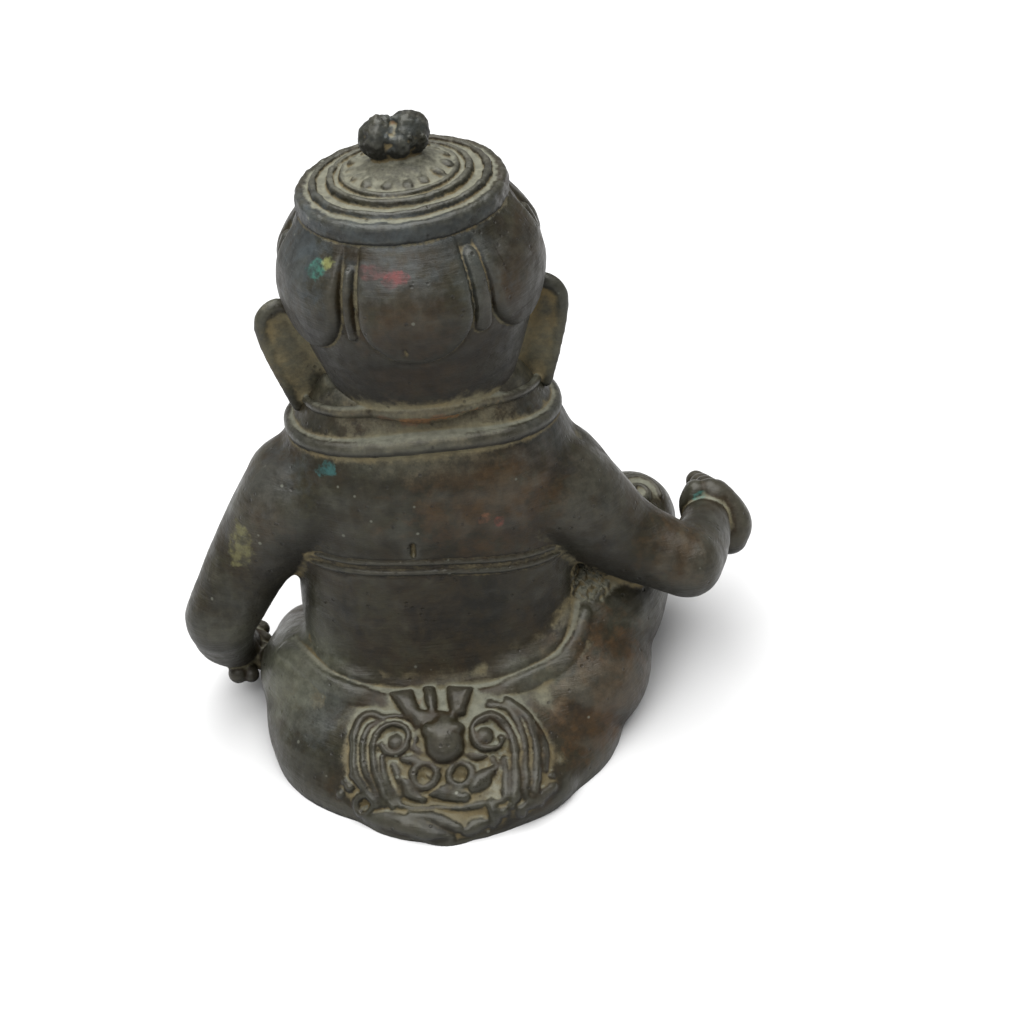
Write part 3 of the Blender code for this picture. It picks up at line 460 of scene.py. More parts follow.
def smooth_path(stations, steps=10, closed=False):
    """Points on the cubic through the stations whose slope at each is half the span of its two neighbours."""
    stations = np.array(stations, float)
    if closed:
        padded = np.concatenate((stations[-1:], stations, stations[:2]))
        share = np.arange(len(stations) * steps) / steps
    else:
        ends = (2 * stations[:1] - stations[1:2], 2 * stations[-1:] - stations[-2:-1])
        padded = np.concatenate((ends[0], stations, ends[1]))
        share = np.linspace(0, len(stations) - 1, (len(stations) - 1) * steps + 1)
    start = np.minimum(share.astype(int), len(padded) - 4)
    t = (share - start)[:, None]
    before, here, there, beyond = (padded[start + offset] for offset in range(4))
    return here + 0.5 * t * (there - before + t * (2 * before - 5 * here + 4 * there - beyond
                                                   + t * (3 * (here - there) + beyond - before)))


def tube(stations, steps=10, sides=28, closed=False, cap_rows=7):
    """P(s, t) = C(s) + R(s) (cos t N(s) + sin t B(s)) along a smooth path, with a half ball on each end."""
    path = smooth_path(stations, steps, closed)
    centre, radius = path[:, :3], path[:, 3:]
    if closed:
        along = np.roll(centre, -1, 0) - np.roll(centre, 1, 0)
    else:
        along = np.gradient(centre, axis=0)
    along /= np.linalg.norm(along, axis=1, keepdims=True)
    steady = np.eye(3)[np.argmin(np.abs(along).max(0))]
    side = np.cross(steady, along)
    side /= np.linalg.norm(side, axis=1, keepdims=True)
    up = np.cross(along, side)
    if not closed:
        lean = np.linspace(math.pi / 2, 0, cap_rows)[:-1, None]
        first = (centre[:1] - along[:1] * radius[0] * np.sin(lean), radius[0] * np.cos(lean))
        last = (centre[-1:] + along[-1:] * radius[-1] * np.sin(lean[::-1]), radius[-1] * np.cos(lean[::-1]))
        centre = np.concatenate((first[0], centre, last[0]))
        radius = np.concatenate((first[1], radius, last[1]))
        rows = len(lean)
        side = np.concatenate((np.repeat(side[:1], rows, 0), side, np.repeat(side[-1:], rows, 0)))
        up = np.concatenate((np.repeat(up[:1], rows, 0), up, np.repeat(up[-1:], rows, 0)))
    t = np.linspace(0, 2 * math.pi, sides, endpoint=False)[None, :, None]
    grid = centre[:, None] + radius[:, None] * (np.cos(t) * side[:, None] + np.sin(t) * up[:, None])
    return shape_of(grid, closed)


def limb(stations):
    """A tube through stations given in shares of the height."""
    return tube(np.array(stations) * PACKED_HEIGHT)


def loft(sections, squareness=SQUARENESS, sides=120, rows=60):
    """P(h, t) = M(h) + (W(h) |cos t|^(2/q), D(h) |sin t|^(2/q)) with their signs, closed at both ends."""
    sections = np.array(sections, float)
    level = np.linspace(sections[0, 0], sections[-1, 0], rows)
    levels, *rows = sections.T
    middle_x, middle_y, width, depth = (np.interp(level, levels, row)[:, None] for row in rows)
    t = np.linspace(0, 2 * math.pi, sides, endpoint=False)[None]
    x = middle_x + width * np.sign(np.cos(t)) * np.abs(np.cos(t)) ** (2 / squareness)
    y = middle_y + depth * np.sign(np.sin(t)) * np.abs(np.sin(t)) ** (2 / squareness)
    grid = np.stack((x, y, np.broadcast_to(level[:, None], x.shape)), -1)
    middle = np.stack((middle_x, middle_y, level[:, None]), -1)
    grid = np.concatenate((np.repeat(middle[:1], sides, 1), grid, np.repeat(middle[-1:], sides, 1)))
    return shape_of(grid * PACKED_HEIGHT)


def rounded(depth, edge):
    """How high a rounded edge stands: a quarter circle from 0 at the border to 1 an edge's width inside."""
    share = np.clip(depth / edge, 0, 1)
    return np.sqrt(1 - (1 - share) ** 2)


def eased(value, start, end):
    """0 before start, 1 after end, and 3 t^2 - 2 t^3 between."""
    share = np.clip((value - start) / (end - start), 0, 1)
    return share * share * (3 - 2 * share)


def cap_relief(angle, height):
    """How far petals and straps stand out at an angle from straight back and a height.

    A petal is a strip whose lower end is half a circle: its depth at a place is its half width less the
    distance from its middle line. A strap is the same with both ends round."""
    fade = eased(height, *PETAL_FADE)
    lift = np.zeros_like(angle)
    groove = np.zeros_like(angle)
    for index in range(PETALS):
        strap_half, strap_low, strap_high = STRAPS[index]
        petal = (index, PETAL_HALF_ANGLE * CAP_RADIUS, PETAL_BOTTOMS[index], math.inf, PETAL_LIFT, PETAL_EDGE)
        strap = (index + 0.5, strap_half, strap_low, strap_high, STRAP_LIFT, STRAP_EDGE)
        for marks, wear, share_faded in ((petal, PETAL_WEAR, 1.0), (strap, STRAP_WEAR, STRAP_FADING)):
            middle, half, low, high, rise, edge = marks
            aside = (angle - middle * 2 * math.pi / PETALS + math.pi) % (2 * math.pi) - math.pi
            beyond = np.minimum(0, height - low - half) + np.maximum(0, height - high + half)
            depth = half - np.hypot(aside * CAP_RADIUS, beyond)
            kept = 1 - wear[0] * (1 - eased(height, low, low + wear[1]))
            lift = np.maximum(lift, rise * rounded(depth, edge) * kept * (1 - share_faded * (1 - fade)))
            furrow = np.exp(-(((depth + GROOVE_OUTSIDE) / GROOVE_WIDTH) ** 2))
            groove = np.maximum(groove, furrow * (1 - GROOVE_FADING * (1 - fade)))
    return lift - PETAL_GROOVE * groove


def capped_skull(columns=760, rows=330):
    """P(t, s) = (R(s) + relief(t, s)) turned by t, at height Z(s), where R and Z follow the outline."""
    outline = np.concatenate((smooth_path(SKULL, 12)[:-1], CAP_TOP))
    length = np.concatenate(([0], np.cumsum(np.linalg.norm(np.diff(outline, axis=0), axis=1))))
    even = np.linspace(0, length[-1], rows)
    radius = np.interp(even, length, outline[:, 0])[:, None]
    height = np.interp(even, length, outline[:, 1])[:, None]
    angle = np.linspace(-math.pi, math.pi, columns, endpoint=False)[None]
    on_side = even[:, None] < length[len(outline) - len(CAP_TOP)]
    relief = cap_relief(*np.broadcast_arrays(angle, height)) * on_side
    full = radius + relief
    grid = np.stack((full * np.sin(angle), full * np.cos(angle), np.broadcast_to(height, full.shape)), -1)
    foot = np.zeros((1, columns, 3))
    foot[..., 2] = SKULL[0][1]
    return shape_of(np.concatenate((foot, grid))[:, ::-1] * PACKED_HEIGHT)


def joined(shapes):
    """The points and quads of several shapes as one."""
    starts = np.cumsum([0] + [len(points) for points, _ in shapes[:-1]])
    quads = np.concatenate([quads + start for (_, quads), start in zip(shapes, starts)])
    return np.concatenate([points for points, _ in shapes]).tolist(), quads.tolist()


def mesh_of(name, shapes):
    """One mesh object of several shapes, their poles closed by merging points that coincide."""
    points, quads = joined(shapes)
    mesh = bpy.data.meshes.new(name)
    mesh.from_pydata(points, [], quads)
    shell = bmesh.new()
    shell.from_mesh(mesh)
    bmesh.ops.remove_doubles(shell, verts=shell.verts, dist=1e-7)
    shell.to_mesh(mesh)
    shell.free()
    obj = bpy.data.objects.new(name, mesh)
    bpy.context.scene.collection.objects.link(obj)
    return obj


def shape_from(obj):
    """The points and faces of an object whose faces are all quads, and the object is removed."""
    shape = points_of(obj.data), read_from(obj.data.loops, "vertex_index", np.int32).reshape(-1, 4)
    bpy.data.objects.remove(obj)
    return shape


def baked(obj):
    """Turns an object's modifiers into plain mesh."""
    graph = bpy.context.evaluated_depsgraph_get()
    mesh = bpy.data.meshes.new_from_object(obj.evaluated_get(graph))
    obj.modifiers.clear()
    obj.data = mesh
    return obj


def melted(obj, voxel, smoothing, subdivisions=0):
    """Melts overlapping shells into one skin, softens it and rounds its facets."""
    melt = obj.modifiers.new("Melt", "REMESH")
    melt.mode = "VOXEL"
    melt.voxel_size = voxel
    soften = obj.modifiers.new("Soften", "SMOOTH")
    soften.factor = 0.5
    soften.iterations = smoothing
    if subdivisions:
        rounding = obj.modifiers.new("Round", "SUBSURF")
        rounding.levels = subdivisions
        rounding.render_levels = subdivisions
    return baked(obj)


def read_from(items, name, kind, size=1):
    """One value of every item of a mesh, as an array with a row for each."""
    values = np.empty(len(items) * size, kind)
    items.foreach_get(name, values)
    return values.reshape(-1, size)


def points_of(mesh):
    """The places of a mesh's points."""
    return read_from(mesh.vertices, "co", np.float32, 3).astype(float)


def normals_of(mesh):
    """The way that the skin faces at each of a mesh's points."""
    return read_from(mesh.vertex_normals, "vector", np.float32, 3).astype(float)


def edges_of(mesh):
    """The two point numbers of each edge, and how many edges meet at each point."""
    edges = read_from(mesh.edges, "vertices", np.int32, 2)
    return edges, np.maximum(np.bincount(edges.ravel(), minlength=len(mesh.vertices)), 1)


def put_points(mesh, points):
    """Moves a mesh's points to new places."""
    mesh.vertices.foreach_set("co", points.astype(np.float32).ravel())
    mesh.update()


def surface_of(shapes):
    """A tree for finding where a line first meets these shapes."""
    return BVHTree.FromPolygons(*joined(shapes))


def ring_path(surface, level, side_rise, front_rise, half_angle=math.pi, tilt=0.0):
    """Places round the body: at each angle from straight back, where a level line inwards meets it."""
    whole = half_angle >= math.pi
    angles = np.linspace(-half_angle, half_angle, RING_STEPS, endpoint=not whole)
    heights = level + side_rise * np.sin(angles) ** 2 + front_rise * (1 - np.cos(angles)) / 2
    heights += tilt * np.sin(angles)
    places = []
    for angle, height in zip(angles, heights):
        outward = Vector((math.sin(angle), math.cos(angle), 0))
        start = Vector(place(*HEAD_AXIS, height)) + outward * RING_REACH * PACKED_HEIGHT
        hit = surface.ray_cast(start, -outward)[0]
        places.append((*hit, *outward))
    return np.array(places)


def ring(surface, settings):
    """A cord laid round the body, sunk a little into it."""
    level, side_rise, front_rise, radius, sink = settings
    path = ring_path(surface, level, side_rise, front_rise)
    centre = path[:, :3] - path[:, 3:] * sink * PACKED_HEIGHT
    thinning = 1 - RING_THINNING * path[:, 3] ** 2
    stations = np.column_stack((centre, radius * PACKED_HEIGHT * thinning))
    return tube(stations, 2, 24, True)


def path_depth(points, path):
    """How deep each point lies inside a band along a path of (place, half width): the most, over the
    path's straight pieces, of the half width there less |p - a - t (b - a)|, with t held in 0 to 1."""
    dimension = points.shape[1]
    start, along = path[:-1, :dimension], np.diff(path[:, :dimension], axis=0)
    width, growth = path[:-1, dimension], np.diff(path[:, dimension])
    offset = points[:, None] - start[None]
    share = np.clip((offset * along).sum(-1) / np.maximum((along * along).sum(-1), 1e-12), 0, 1)
    distance = np.linalg.norm(offset - share[..., None] * along, axis=-1)
    return (width + share * growth - distance).max(1)


def near(points, path, margin):
    """The numbers of the points inside a path's box, widened by a margin."""
    dimension = points.shape[1]
    low = path[:, :dimension].min(0) - margin
    high = path[:, :dimension].max(0) + margin
    return np.nonzero(((points > low) & (points < high)).all(1))[0]


def to_chart(points):
    """Places on the leaning chart, in shares of the height: across, up, and out from it."""
    share = points / PACKED_HEIGHT - np.array(CHART_MIDDLE)
    up = np.array((0, -math.sin(CHART_LEAN), math.cos(CHART_LEAN)))
    out = np.array((0, math.cos(CHART_LEAN), math.sin(CHART_LEAN)))
    return np.stack((share[:, 0], share @ up, share @ out), 1)


def slab_depth(points, corners):
    """How deep each point lies inside a convex outline: the least distance inwards from its sides."""
    corners = np.array(corners, float)
    along = np.roll(corners, -1, 0) - corners
    inwards = np.stack((-along[:, 1], along[:, 0]), 1) / np.linalg.norm(along, axis=1, keepdims=True)
    if np.cross(along[0], along[1]) < 0:
        inwards = -inwards
    return ((points[:, None] - corners[None]) * inwards[None]).sum(-1).min(1)


def blended_most(first, second, softness):
    """The greater of two heights, with a fillet of a given softness where they cross."""
    share = np.clip(0.5 + 0.5 * (first - second) / softness, 0, 1)
    return second + (first - second) * share + softness * share * (1 - share)


def raised(heights, chosen, depth, height, edge, softness=MARK_FILLET):
    """Adds one mark to the carving: it stands its height inside its outline, past a rounded edge."""
    before = heights[chosen]
    mark = blended_most(before, height * rounded(depth, edge), softness)
    heights[chosen] = np.where(depth > -softness, mark, before)


def carved_cloth(spots):
    """How high the carved cloth stands at places of the chart, and how far it is wiped clean of dust.

    A low panel carries all marks. Pleats, rings, beads, leaves and flaps are bands along paths, tabs are
    slabs, and each is blended with what it crosses; pits are sunk before the bow is laid on top."""
    ground = PANEL_RISE[0] * eased(path_depth(spots, smooth_path(PANEL, 6)), *PANEL_RISE[1:])
    ground = np.maximum(ground, BELT_RISE[0] * rounded(path_depth(spots, smooth_path(BELT, 6)), BELT_RISE[1]))
    marks = np.zeros(len(spots))

    def band(path, height, edge):
        close = near(spots, path, path[:, 2].max() + 0.01)
        raised(marks, close, path_depth(spots[close], path), height, edge)

    def bead(across, up, radius, height):
        band(np.array(((across, up, radius), (across + 0.001, up, radius))), height, radius)

    for places, width, height in PLEATS:
        width *= PLEAT_SPREAD
        band(smooth_path(with_width(places, width), 6), height * PLEAT_SETTLED, width)
    for centre, radii, turns, end_angle, side, width, height in SCROLLS:
        path = spiral(centre, radii, turns, math.radians(end_angle), side)
        band(with_width(path, width), height, width)
    for across, up, radius in BEADS:
        bead(across, up, radius, radius)
    for across, up, radius, height in EYES:
        bead(across, up, radius, height)
    band(smooth_path(with_width(HEM, HEM_BAND[0]), 6), HEM_BAND[1], HEM_BAND[0])
    for places, height in (*LEAVES, *FLAPS):
        places = np.array(places)
        band(smooth_path(places, 6), height, places[:, 2].max())
    pits = np.zeros(len(spots))
    for across, up, radius in PITS:
        distance = np.hypot(spots[:, 0] - across, spots[:, 1] - up)
        pits = np.maximum(pits, PIT_DEPTH * (1 - eased(distance, PIT_FLOOR * radius, radius)))
    bow = np.zeros(len(spots))
    for corners, height, edge in TABS:
        close = near(spots, np.array(corners), 0.01)
        raised(bow, close, slab_depth(spots[close], corners), height, edge)
    every = np.arange(len(spots))
    for path, height, edge, fillet in BOW:
        raised(bow, every, path_depth(spots, smooth_path(path, 6)), height, edge, fillet)
    valley = VALLEY[0] * np.exp(-((marks / VALLEY[1]) ** 2)) * eased(ground, 0.001, 0.006)
    wiped = np.maximum(eased(bow, 0.003, 0.009), MARK_WIPED * eased(marks - pits, 0.0035, 0.0075))
    return ground + (marks - pits - valley) * (1 - eased(bow, 0.001, 0.006)) + bow, wiped


def carved_heights(points, normals):
    """How far the carving behind lifts each point, in shares of the height, and how clean it is."""
    chart = to_chart(points)
    out = np.array((0, math.cos(CHART_LEAN), math.sin(CHART_LEAN)))
    low_across, high_across, low_up, high_up = CHART_REACH
    facing = eased(normals @ out, *CARVING_FACING)
    inside = (chart > (low_across, low_up, CARVING_REACH_IN)) & (chart < (high_across, high_up, math.inf))
    chosen = np.nonzero((facing > 0) & inside.all(1))[0]
    chart, facing = chart[chosen], facing[chosen]
    spots = chart[:, :2]
    wander = np.stack([waves(chart, CARVING_WANDER_LENGTH, seed, 3) for seed in (21, 22)], 1)
    lift, wiped = carved_cloth(spots + CARVING_WANDER * wander)
    worn = 1 + CARVING_WEAR[0] * waves(chart, CARVING_WEAR[1], 23, 2)
    crease = path_depth(spots, with_width(smooth_path(BELT_TOP, 6), 0.0))
    crease = BELT_CREASE[0] * np.exp(-((crease / BELT_CREASE[1]) ** 2)) * (1 - eased(lift, 0.006, 0.01))
    heights = np.zeros(len(points))
    heights[chosen] = (lift * worn - crease) * facing
    clean = np.zeros(len(points))
    clean[chosen] = wiped * facing
    return heights, clean


def cut_heights(points, cuts):
    """Fine cuts: each sinks the skin along a path in space, deepest on its middle line."""
    heights = np.zeros(len(points))
    share = points / PACKED_HEIGHT
    for places, width, depth in cuts:
        path = smooth_path(with_width(places, 0.0), 6)
        close = near(share, path, 4 * width + 0.004)
        distance = -path_depth(share[close], path)
        heights[close] -= depth * np.exp(-((distance / width) ** 2))
    return heights


def chip_heights(points):
    """A crumbled place: uneven lumps that fade out at its border."""
    centre, radius, strength = CHIP
    share = points / PACKED_HEIGHT
    distance = np.linalg.norm(share - np.array(centre), axis=1)
    return strength * (1 - eased(distance, 0.5 * radius, radius)) * (waves(share, 0.016, 31, 4) + 0.3)


def waist_heights(points, surface):
    """Two thin raised lines round the back, each between fine grooves, in shares of the height."""
    share = points / PACKED_HEIGHT
    lift = np.zeros(len(points))
    groove = np.zeros(len(points))
    for level, side_rise, tilt, width, height in WAIST_LINES:
        path = ring_path(surface, level, side_rise, 0, WAIST_HALF_ANGLE, tilt)[:, :3] / PACKED_HEIGHT
        from_end = np.minimum(np.arange(len(path)), np.arange(len(path))[::-1])
        path = np.column_stack((path, width * np.minimum(1, from_end / 8)))
        close = near(share, path, 0.03)
        depth = path_depth(share[close], path)
        lift[close] = np.maximum(lift[close], height * rounded(depth, width))
        beside = WAIST_GROOVE[0] * np.exp(-((np.minimum(depth, 0) / WAIST_GROOVE[1]) ** 2)) * (depth < 0)
        groove[close] = np.maximum(groove[close], beside)
    return lift - groove * (1 - eased(lift, 0, 0.002))


def waves(points, scale, seed, octaves=4):
    """A smooth uneven field between about -1 and 1: sums of sines along seeded directions, each octave
    half as long and half as strong as the last."""
    chance = np.random.default_rng(seed)
    field = np.zeros(len(points))
    strength = 1.0
    for octave in range(octaves):
        for _ in range(5):
            direction = chance.normal(size=3)
            direction *= 2 * math.pi * 2 ** octave / (scale * np.linalg.norm(direction))
            field += strength * np.sin(points @ direction + chance.uniform(0, 2 * math.pi))
        strength *= 0.5
    return field / 4


def neighbours_mean(values, edges, count):
    """The mean of each point's neighbours, by adding both ends of every edge."""
    total = np.zeros_like(values)
    for axis in range(values.shape[1]):
        total[:, axis] = (np.bincount(edges[:, 0], values[edges[:, 1], axis], len(values))
                          + np.bincount(edges[:, 1], values[edges[:, 0], axis], len(values)))
    return total / count[:, None]


def keep_on_points(mesh, name, values):
    """Keeps one number on every point of a mesh, for its material to read."""
    attribute = mesh.attributes.new(name, "FLOAT", "POINT")
    attribute.data.foreach_set("value", values.astype(np.float32))


def worn_soft(mesh, values):
    """Numbers on points, each drawn towards its neighbours' mean, as handling wears relief down."""
    edges, count = edges_of(mesh)
    for _ in range(WEAR_STEPS):
        values = (1 - WEAR_SHARE) * values + WEAR_SHARE * neighbours_mean(values, edges, count)
    return values


def mark_hollows(obj):
    """Keeps on every point how hollow and how sharp the surface is there.

    The mesh is softened step by step. Where the softened place lies outside the skin the skin is hollow,
    and where it lies inside the skin is an edge."""
    mesh = obj.data
    points = points_of(mesh)
    normals = normals_of(mesh)
    edges, count = edges_of(mesh)
    soft = points.copy()
    hollow = np.zeros((len(points), 1))
    edge = np.zeros((len(points), 1))
    done = 0
    for steps, full, hollow_share, edge_share in HOLLOW_SCALES:
        for _ in range(steps - done):
            soft += WEAR_SHARE * (neighbours_mean(soft, edges, count) - soft)
        done = steps
        outside = ((soft - points) * normals).sum(1, keepdims=True) / full
        hollow += hollow_share * outside
        edge -= edge_share * outside
    for name, values in (("hollow", hollow), ("edge", edge)):
        values = np.clip(values, 0, 1)
        for _ in range(2):
            values = 0.5 * values + 0.5 * neighbours_mean(values, edges, count)
        keep_on_points(mesh, name, values[:, 0])


def finished(obj, triangles):
    """Cuts the skin flat on the floor, thins it to the number of triangles and makes it smooth."""
    skin = bmesh.new()
    skin.from_mesh(obj.data)
    if min(vert.co.z for vert in skin.verts) < 0:
        bmesh.ops.bisect_plane(
            skin, geom=[*skin.verts, *skin.edges, *skin.faces], dist=FLOOR_SNAP, plane_co=(0, 0, 0),
            plane_no=(0, 0, -1), clear_outer=True
        )
        for vert in skin.verts:
            if vert.co.z < FLOOR_SNAP:
                vert.co.z = 0
        bmesh.ops.contextual_create(skin, geom=[edge for edge in skin.edges if edge.is_boundary])
    bmesh.ops.recalc_face_normals(skin, faces=skin.faces)
    skin.to_mesh(obj.data)
    skin.free()
    whole = sum(len(polygon.vertices) - 2 for polygon in obj.data.polygons)
    thin = obj.modifiers.new("Thin", "DECIMATE")
    thin.ratio = min(1, triangles / whole)
    thin.use_collapse_triangulate = True
    baked(obj)
    obj.data.polygons.foreach_set("use_smooth", np.ones(len(obj.data.polygons), bool))
    return obj


def stepped(stations, step, index, shrink=1.0):
    """Stations moved by a number of steps, each thinner by shrink."""
    stations = np.array(stations, float)
    return np.column_stack((stations[:, :3] + np.array(step) * index, stations[:, 3] * shrink ** index))


def mirrored(stations, side):
    """A place or stations on the left (side 1) or the right (side -1)."""
    stations = np.array(stations, float)
    stations[..., 0] *= side
    return stations


def trunk_shapes():
    """The masses that the rings are laid on."""
    return [loft(TORSO), loft(SEAT), ball(*BELLY), ball(*CHEST), ball(*RIGHT_HIP), ball(*SEAT_CORNER)]


def flesh():
    """Torso, seat, arms and legs melted together."""
    shapes = [*trunk_shapes(), ball(*LAP), ball(*APRON), ball(*BASE_SWELL)]
    shapes += [limb(stations) for stations in (*ARM_WEBS, *LIMBS)]
    return melted(mesh_of("flesh", shapes), FLESH_MELT[0] * PACKED_HEIGHT, FLESH_MELT[1], 1)


def knee_scroll(surface):
    """A scroll of cord laid over the top of the right knee."""
    outward = Vector(KNEE_SCROLL_TOWARDS).normalized()
    sideways = outward.cross(Vector((0, 1, 0))).normalized()
    upward = sideways.cross(outward)
    stations = []
    for across, up in spiral((0, 0), KNEE_SCROLL_RADII, KNEE_SCROLL_TURNS, 0, 1):
        aside = outward * KNEE_REACH + sideways * across + upward * up
        start = Vector(place(*KNEE)) + aside * PACKED_HEIGHT
        hit = surface.ray_cast(start, -outward)[0]
        stations.append((*hit, KNEE_CORD * PACKED_HEIGHT))
    return tube(stations, 4)


def apron_pleats(surface):
    """Pleats fanning to the floor over the end of the cloth in front."""
    shapes = []
    for index in range(APRON_PLEATS):
        spread = index - (APRON_PLEATS - 1) / 2
        stations = []
        for across, height, radius in APRON_PLEAT:
            start = Vector(place(APRON[0][0] + across * spread, -RING_REACH, height))
            hit = surface.ray_cast(start, Vector((0, 1, 0)))[0]
            stations.append((*hit, radius * PACKED_HEIGHT))
        shapes.append(tube(stations))
    return shapes


def extremities():
    """Hands, fingers, feet and toes."""
    shapes = [ball(*RIGHT_PALM), limb(RIGHT_THUMB), ball(*LEFT_PALM), limb(LEFT_THUMB)]
    for index in range(RIGHT_FINGERS):
        shapes.append(limb(stepped(RIGHT_FINGER, RIGHT_FINGER_STEP, index, RIGHT_FINGER_SHRINK)))
    for index in range(LEFT_FINGERS):
        shapes.append(limb(stepped(LEFT_FINGER, LEFT_FINGER_STEP, index)))
    for (centre, radii, turn), (toe, toe_radii), step in FEET:
        shapes.append(ball(centre, radii, (0, 0, turn)))
        for index in range(TOES):
            shrunk = np.array(toe_radii) * (1 - TOE_SHRINK * index)
            shapes.append(ball(np.array(toe) + np.array(step) * index, shrunk))
    return shapes


def head_leaned(points):
    """Leans points of the head about its pivot and puts them on the head's axis."""
    lean = np.array(Matrix.Rotation(HEAD_LEAN, 3, "Y"))
    return (points - place(0, 0, HEAD_PIVOT)) @ lean.T + place(*HEAD_AXIS, HEAD_PIVOT)


def face_shapes():
    """A calm, plain face with lowered lids and closed lips."""
    shapes = [ball(*FACE), ball(*CHIN), limb(NOSE), *(limb(lip) for lip in LIPS)]
    for side in (1, -1):
        shapes += [ball(mirrored(centre, side), radii) for centre, radii in (CHEEK, EYE, NOSTRIL)]
        shapes += [limb(mirrored(stations, side)) for stations in (BROW, LID)]
    return shapes


def plate(root, rim, thickness, sides=40, squareness=5.0):
    """P(s, t) = M(s) + W(s) c(t) + (0, thickness, 0) d(t): M and W are the middle and half of the way from
    the root to the rim, and c and d go round a square with soft corners."""
    middle, half = (root + rim) / 2, (rim - root) / 2
    t = np.linspace(0, 2 * math.pi, sides, endpoint=False)
    across = np.sign(np.cos(t)) * np.abs(np.cos(t)) ** (2 / squareness)
    deep = np.sign(np.sin(t)) * np.abs(np.sin(t)) ** (2 / squareness)
    grid = middle[:, None] + half[:, None] * across[None, :, None]
    grid[..., 1] += thickness * deep
    ends = np.repeat(middle[:1, None], sides, 1), np.repeat(middle[-1:, None], sides, 1)
    return shape_of(np.concatenate((ends[0], grid, ends[1])))


def ear_shapes():
    """Broad ears standing out from the head, each a plate with a rolled rim."""
    shapes = []
    for side in (1, -1):
        shift = np.array((EAR_SHIFT, 0, -RIGHT_EAR_DROP if side < 0 else 0))
        rim = mirrored(EAR_RIM, side)
        rim[:, :3] += shift
        shapes.append(limb(rim))
        path = smooth_path(rim)[:, :3]
        share = np.linspace(0, 1, len(path))[:, None]
        root = mirrored(EAR_ROOT, side) + shift
        root = root[0] * (1 - share) + root[1] * share
        points, quads = plate(root, path, EAR_THICKNESS * 0.5)
        shapes.append((points * PACKED_HEIGHT, quads))
    return shapes


def cap_leaf_shapes():
    """A ring of worn leaves on the dome of the cap, each a little off its place."""
    chance = np.random.default_rng(3)
    around, across, sizes, twist = CAP_LEAF_STRAY
    shapes = []
    for angle in np.linspace(0, 360, CAP_LEAVES, endpoint=False):
        turn = math.radians(angle + chance.uniform(-around, around))
        ring_radius = CAP_LEAF_RING + chance.uniform(-across, across)
        centre = (ring_radius * math.cos(turn), ring_radius * math.sin(turn), CAP_LEAF_LEVEL)
        radii = np.array(CAP_LEAF_SIZE) * chance.uniform(*sizes, 3)
        turned = (0, CAP_LEAF_TILT, angle + chance.uniform(-twist, twist))
        shapes.append(ball(centre, radii, turned, 16, 24))
    return shapes


def knob_shapes():
    """The knob's lobes, with crumbs scattered over their upper skin."""
    chance = np.random.default_rng(8)
    shapes = [ball(*lobe) for lobe in KNOB]
    for _ in range(KNOB_CRUMBS):
        centre, radii = KNOB[chance.integers(len(KNOB))]
        outward = chance.normal(size=3)
        outward[2] = abs(outward[2]) * CRUMB_RISE[0] + CRUMB_RISE[1]
        outward /= np.linalg.norm(outward)
        size = chance.uniform(*KNOB_CRUMB_SIZES)
        middle = np.array(centre) + outward * np.array(radii) * CRUMB_DEPTH
        shapes.append(ball(middle, (size, size, size * CRUMB_FLATNESS), rows=12, columns=18))
    return shapes


def top_wear(points):
    """Wear on the cap's top and crumbling on the knob: uneven lumps that grow towards the top."""
    share = points / PACKED_HEIGHT
    return sum(depth * eased(share[:, 2], start, full) * waves(share, TOP_WEAR_LENGTH, seed, 4)
               for depth, start, full, seed in TOP_WEAR)


def move_to_place(obj):
    """Moves a finished piece from the figure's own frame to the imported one."""
    points = points_of(obj.data)
    points += np.array(PACKED_SHIFT)
    put_points(obj.data, points)


def ready(obj, triangles):
    """Finishes a piece and hands it to the frame."""
    finished(obj, triangles)
    mark_hollows(obj)
    move_to_place(obj)
    obj.data.materials.clear()
    obj.data.materials.append(dark_bronze())
    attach(obj, "root")
    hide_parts(NODE)
    return obj


def put(tree, socket, value):
    """Links a socket to another node's output, or sets its plain value."""
    if isinstance(value, bpy.types.NodeSocket):
        tree.links.new(value, socket)
    elif value is not None:
        socket.default_value = value


def reckon(tree, operation, first, second=None, third=None, clamp=False):
    """One step of arithmetic on values that change over the surface."""
    node = tree.nodes.new("ShaderNodeMath")
    node.operation = operation
    node.use_clamp = clamp
    for socket, value in zip(node.inputs, (first, second, third)):
        put(tree, socket, value)
    return node.outputs[0]


def times(tree, first, second):
    """The product of two values."""
    return reckon(tree, "MULTIPLY", first, second)


def plus(tree, first, second):
    """The sum of two values."""
    return reckon(tree, "ADD", first, second)


def less(tree, first, second):
    """The first value less the second."""
    return reckon(tree, "SUBTRACT", first, second)


def vector_step(tree, operation, first, second=None):
    """One step of arithmetic on places."""
    node = tree.nodes.new("ShaderNodeVectorMath")
    node.operation = operation
    put(tree, node.inputs[0], first)
    if second is not None:
        put(tree, node.inputs[1], second)
    return node.outputs["Value" if operation == "LENGTH" else 0]


def cells_of(tree, place_on_skin, scale):
    """Scattered cells: the distance from each one's centre, and its three chance numbers."""
    cells = tree.nodes.new("ShaderNodeTexVoronoi")
    put(tree, cells.inputs["Vector"], place_on_skin)
    put(tree, cells.inputs["Scale"], scale)
    chance = tree.nodes.new("ShaderNodeSeparateColor")
    tree.links.new(cells.outputs["Color"], chance.inputs[0])
    return cells.outputs["Distance"], chance.outputs


def kept_value(tree, name):
    """A number that is kept on the points of the mesh."""
    node = tree.nodes.new("ShaderNodeAttribute")
    node.attribute_name = name
    return node.outputs["Fac"]


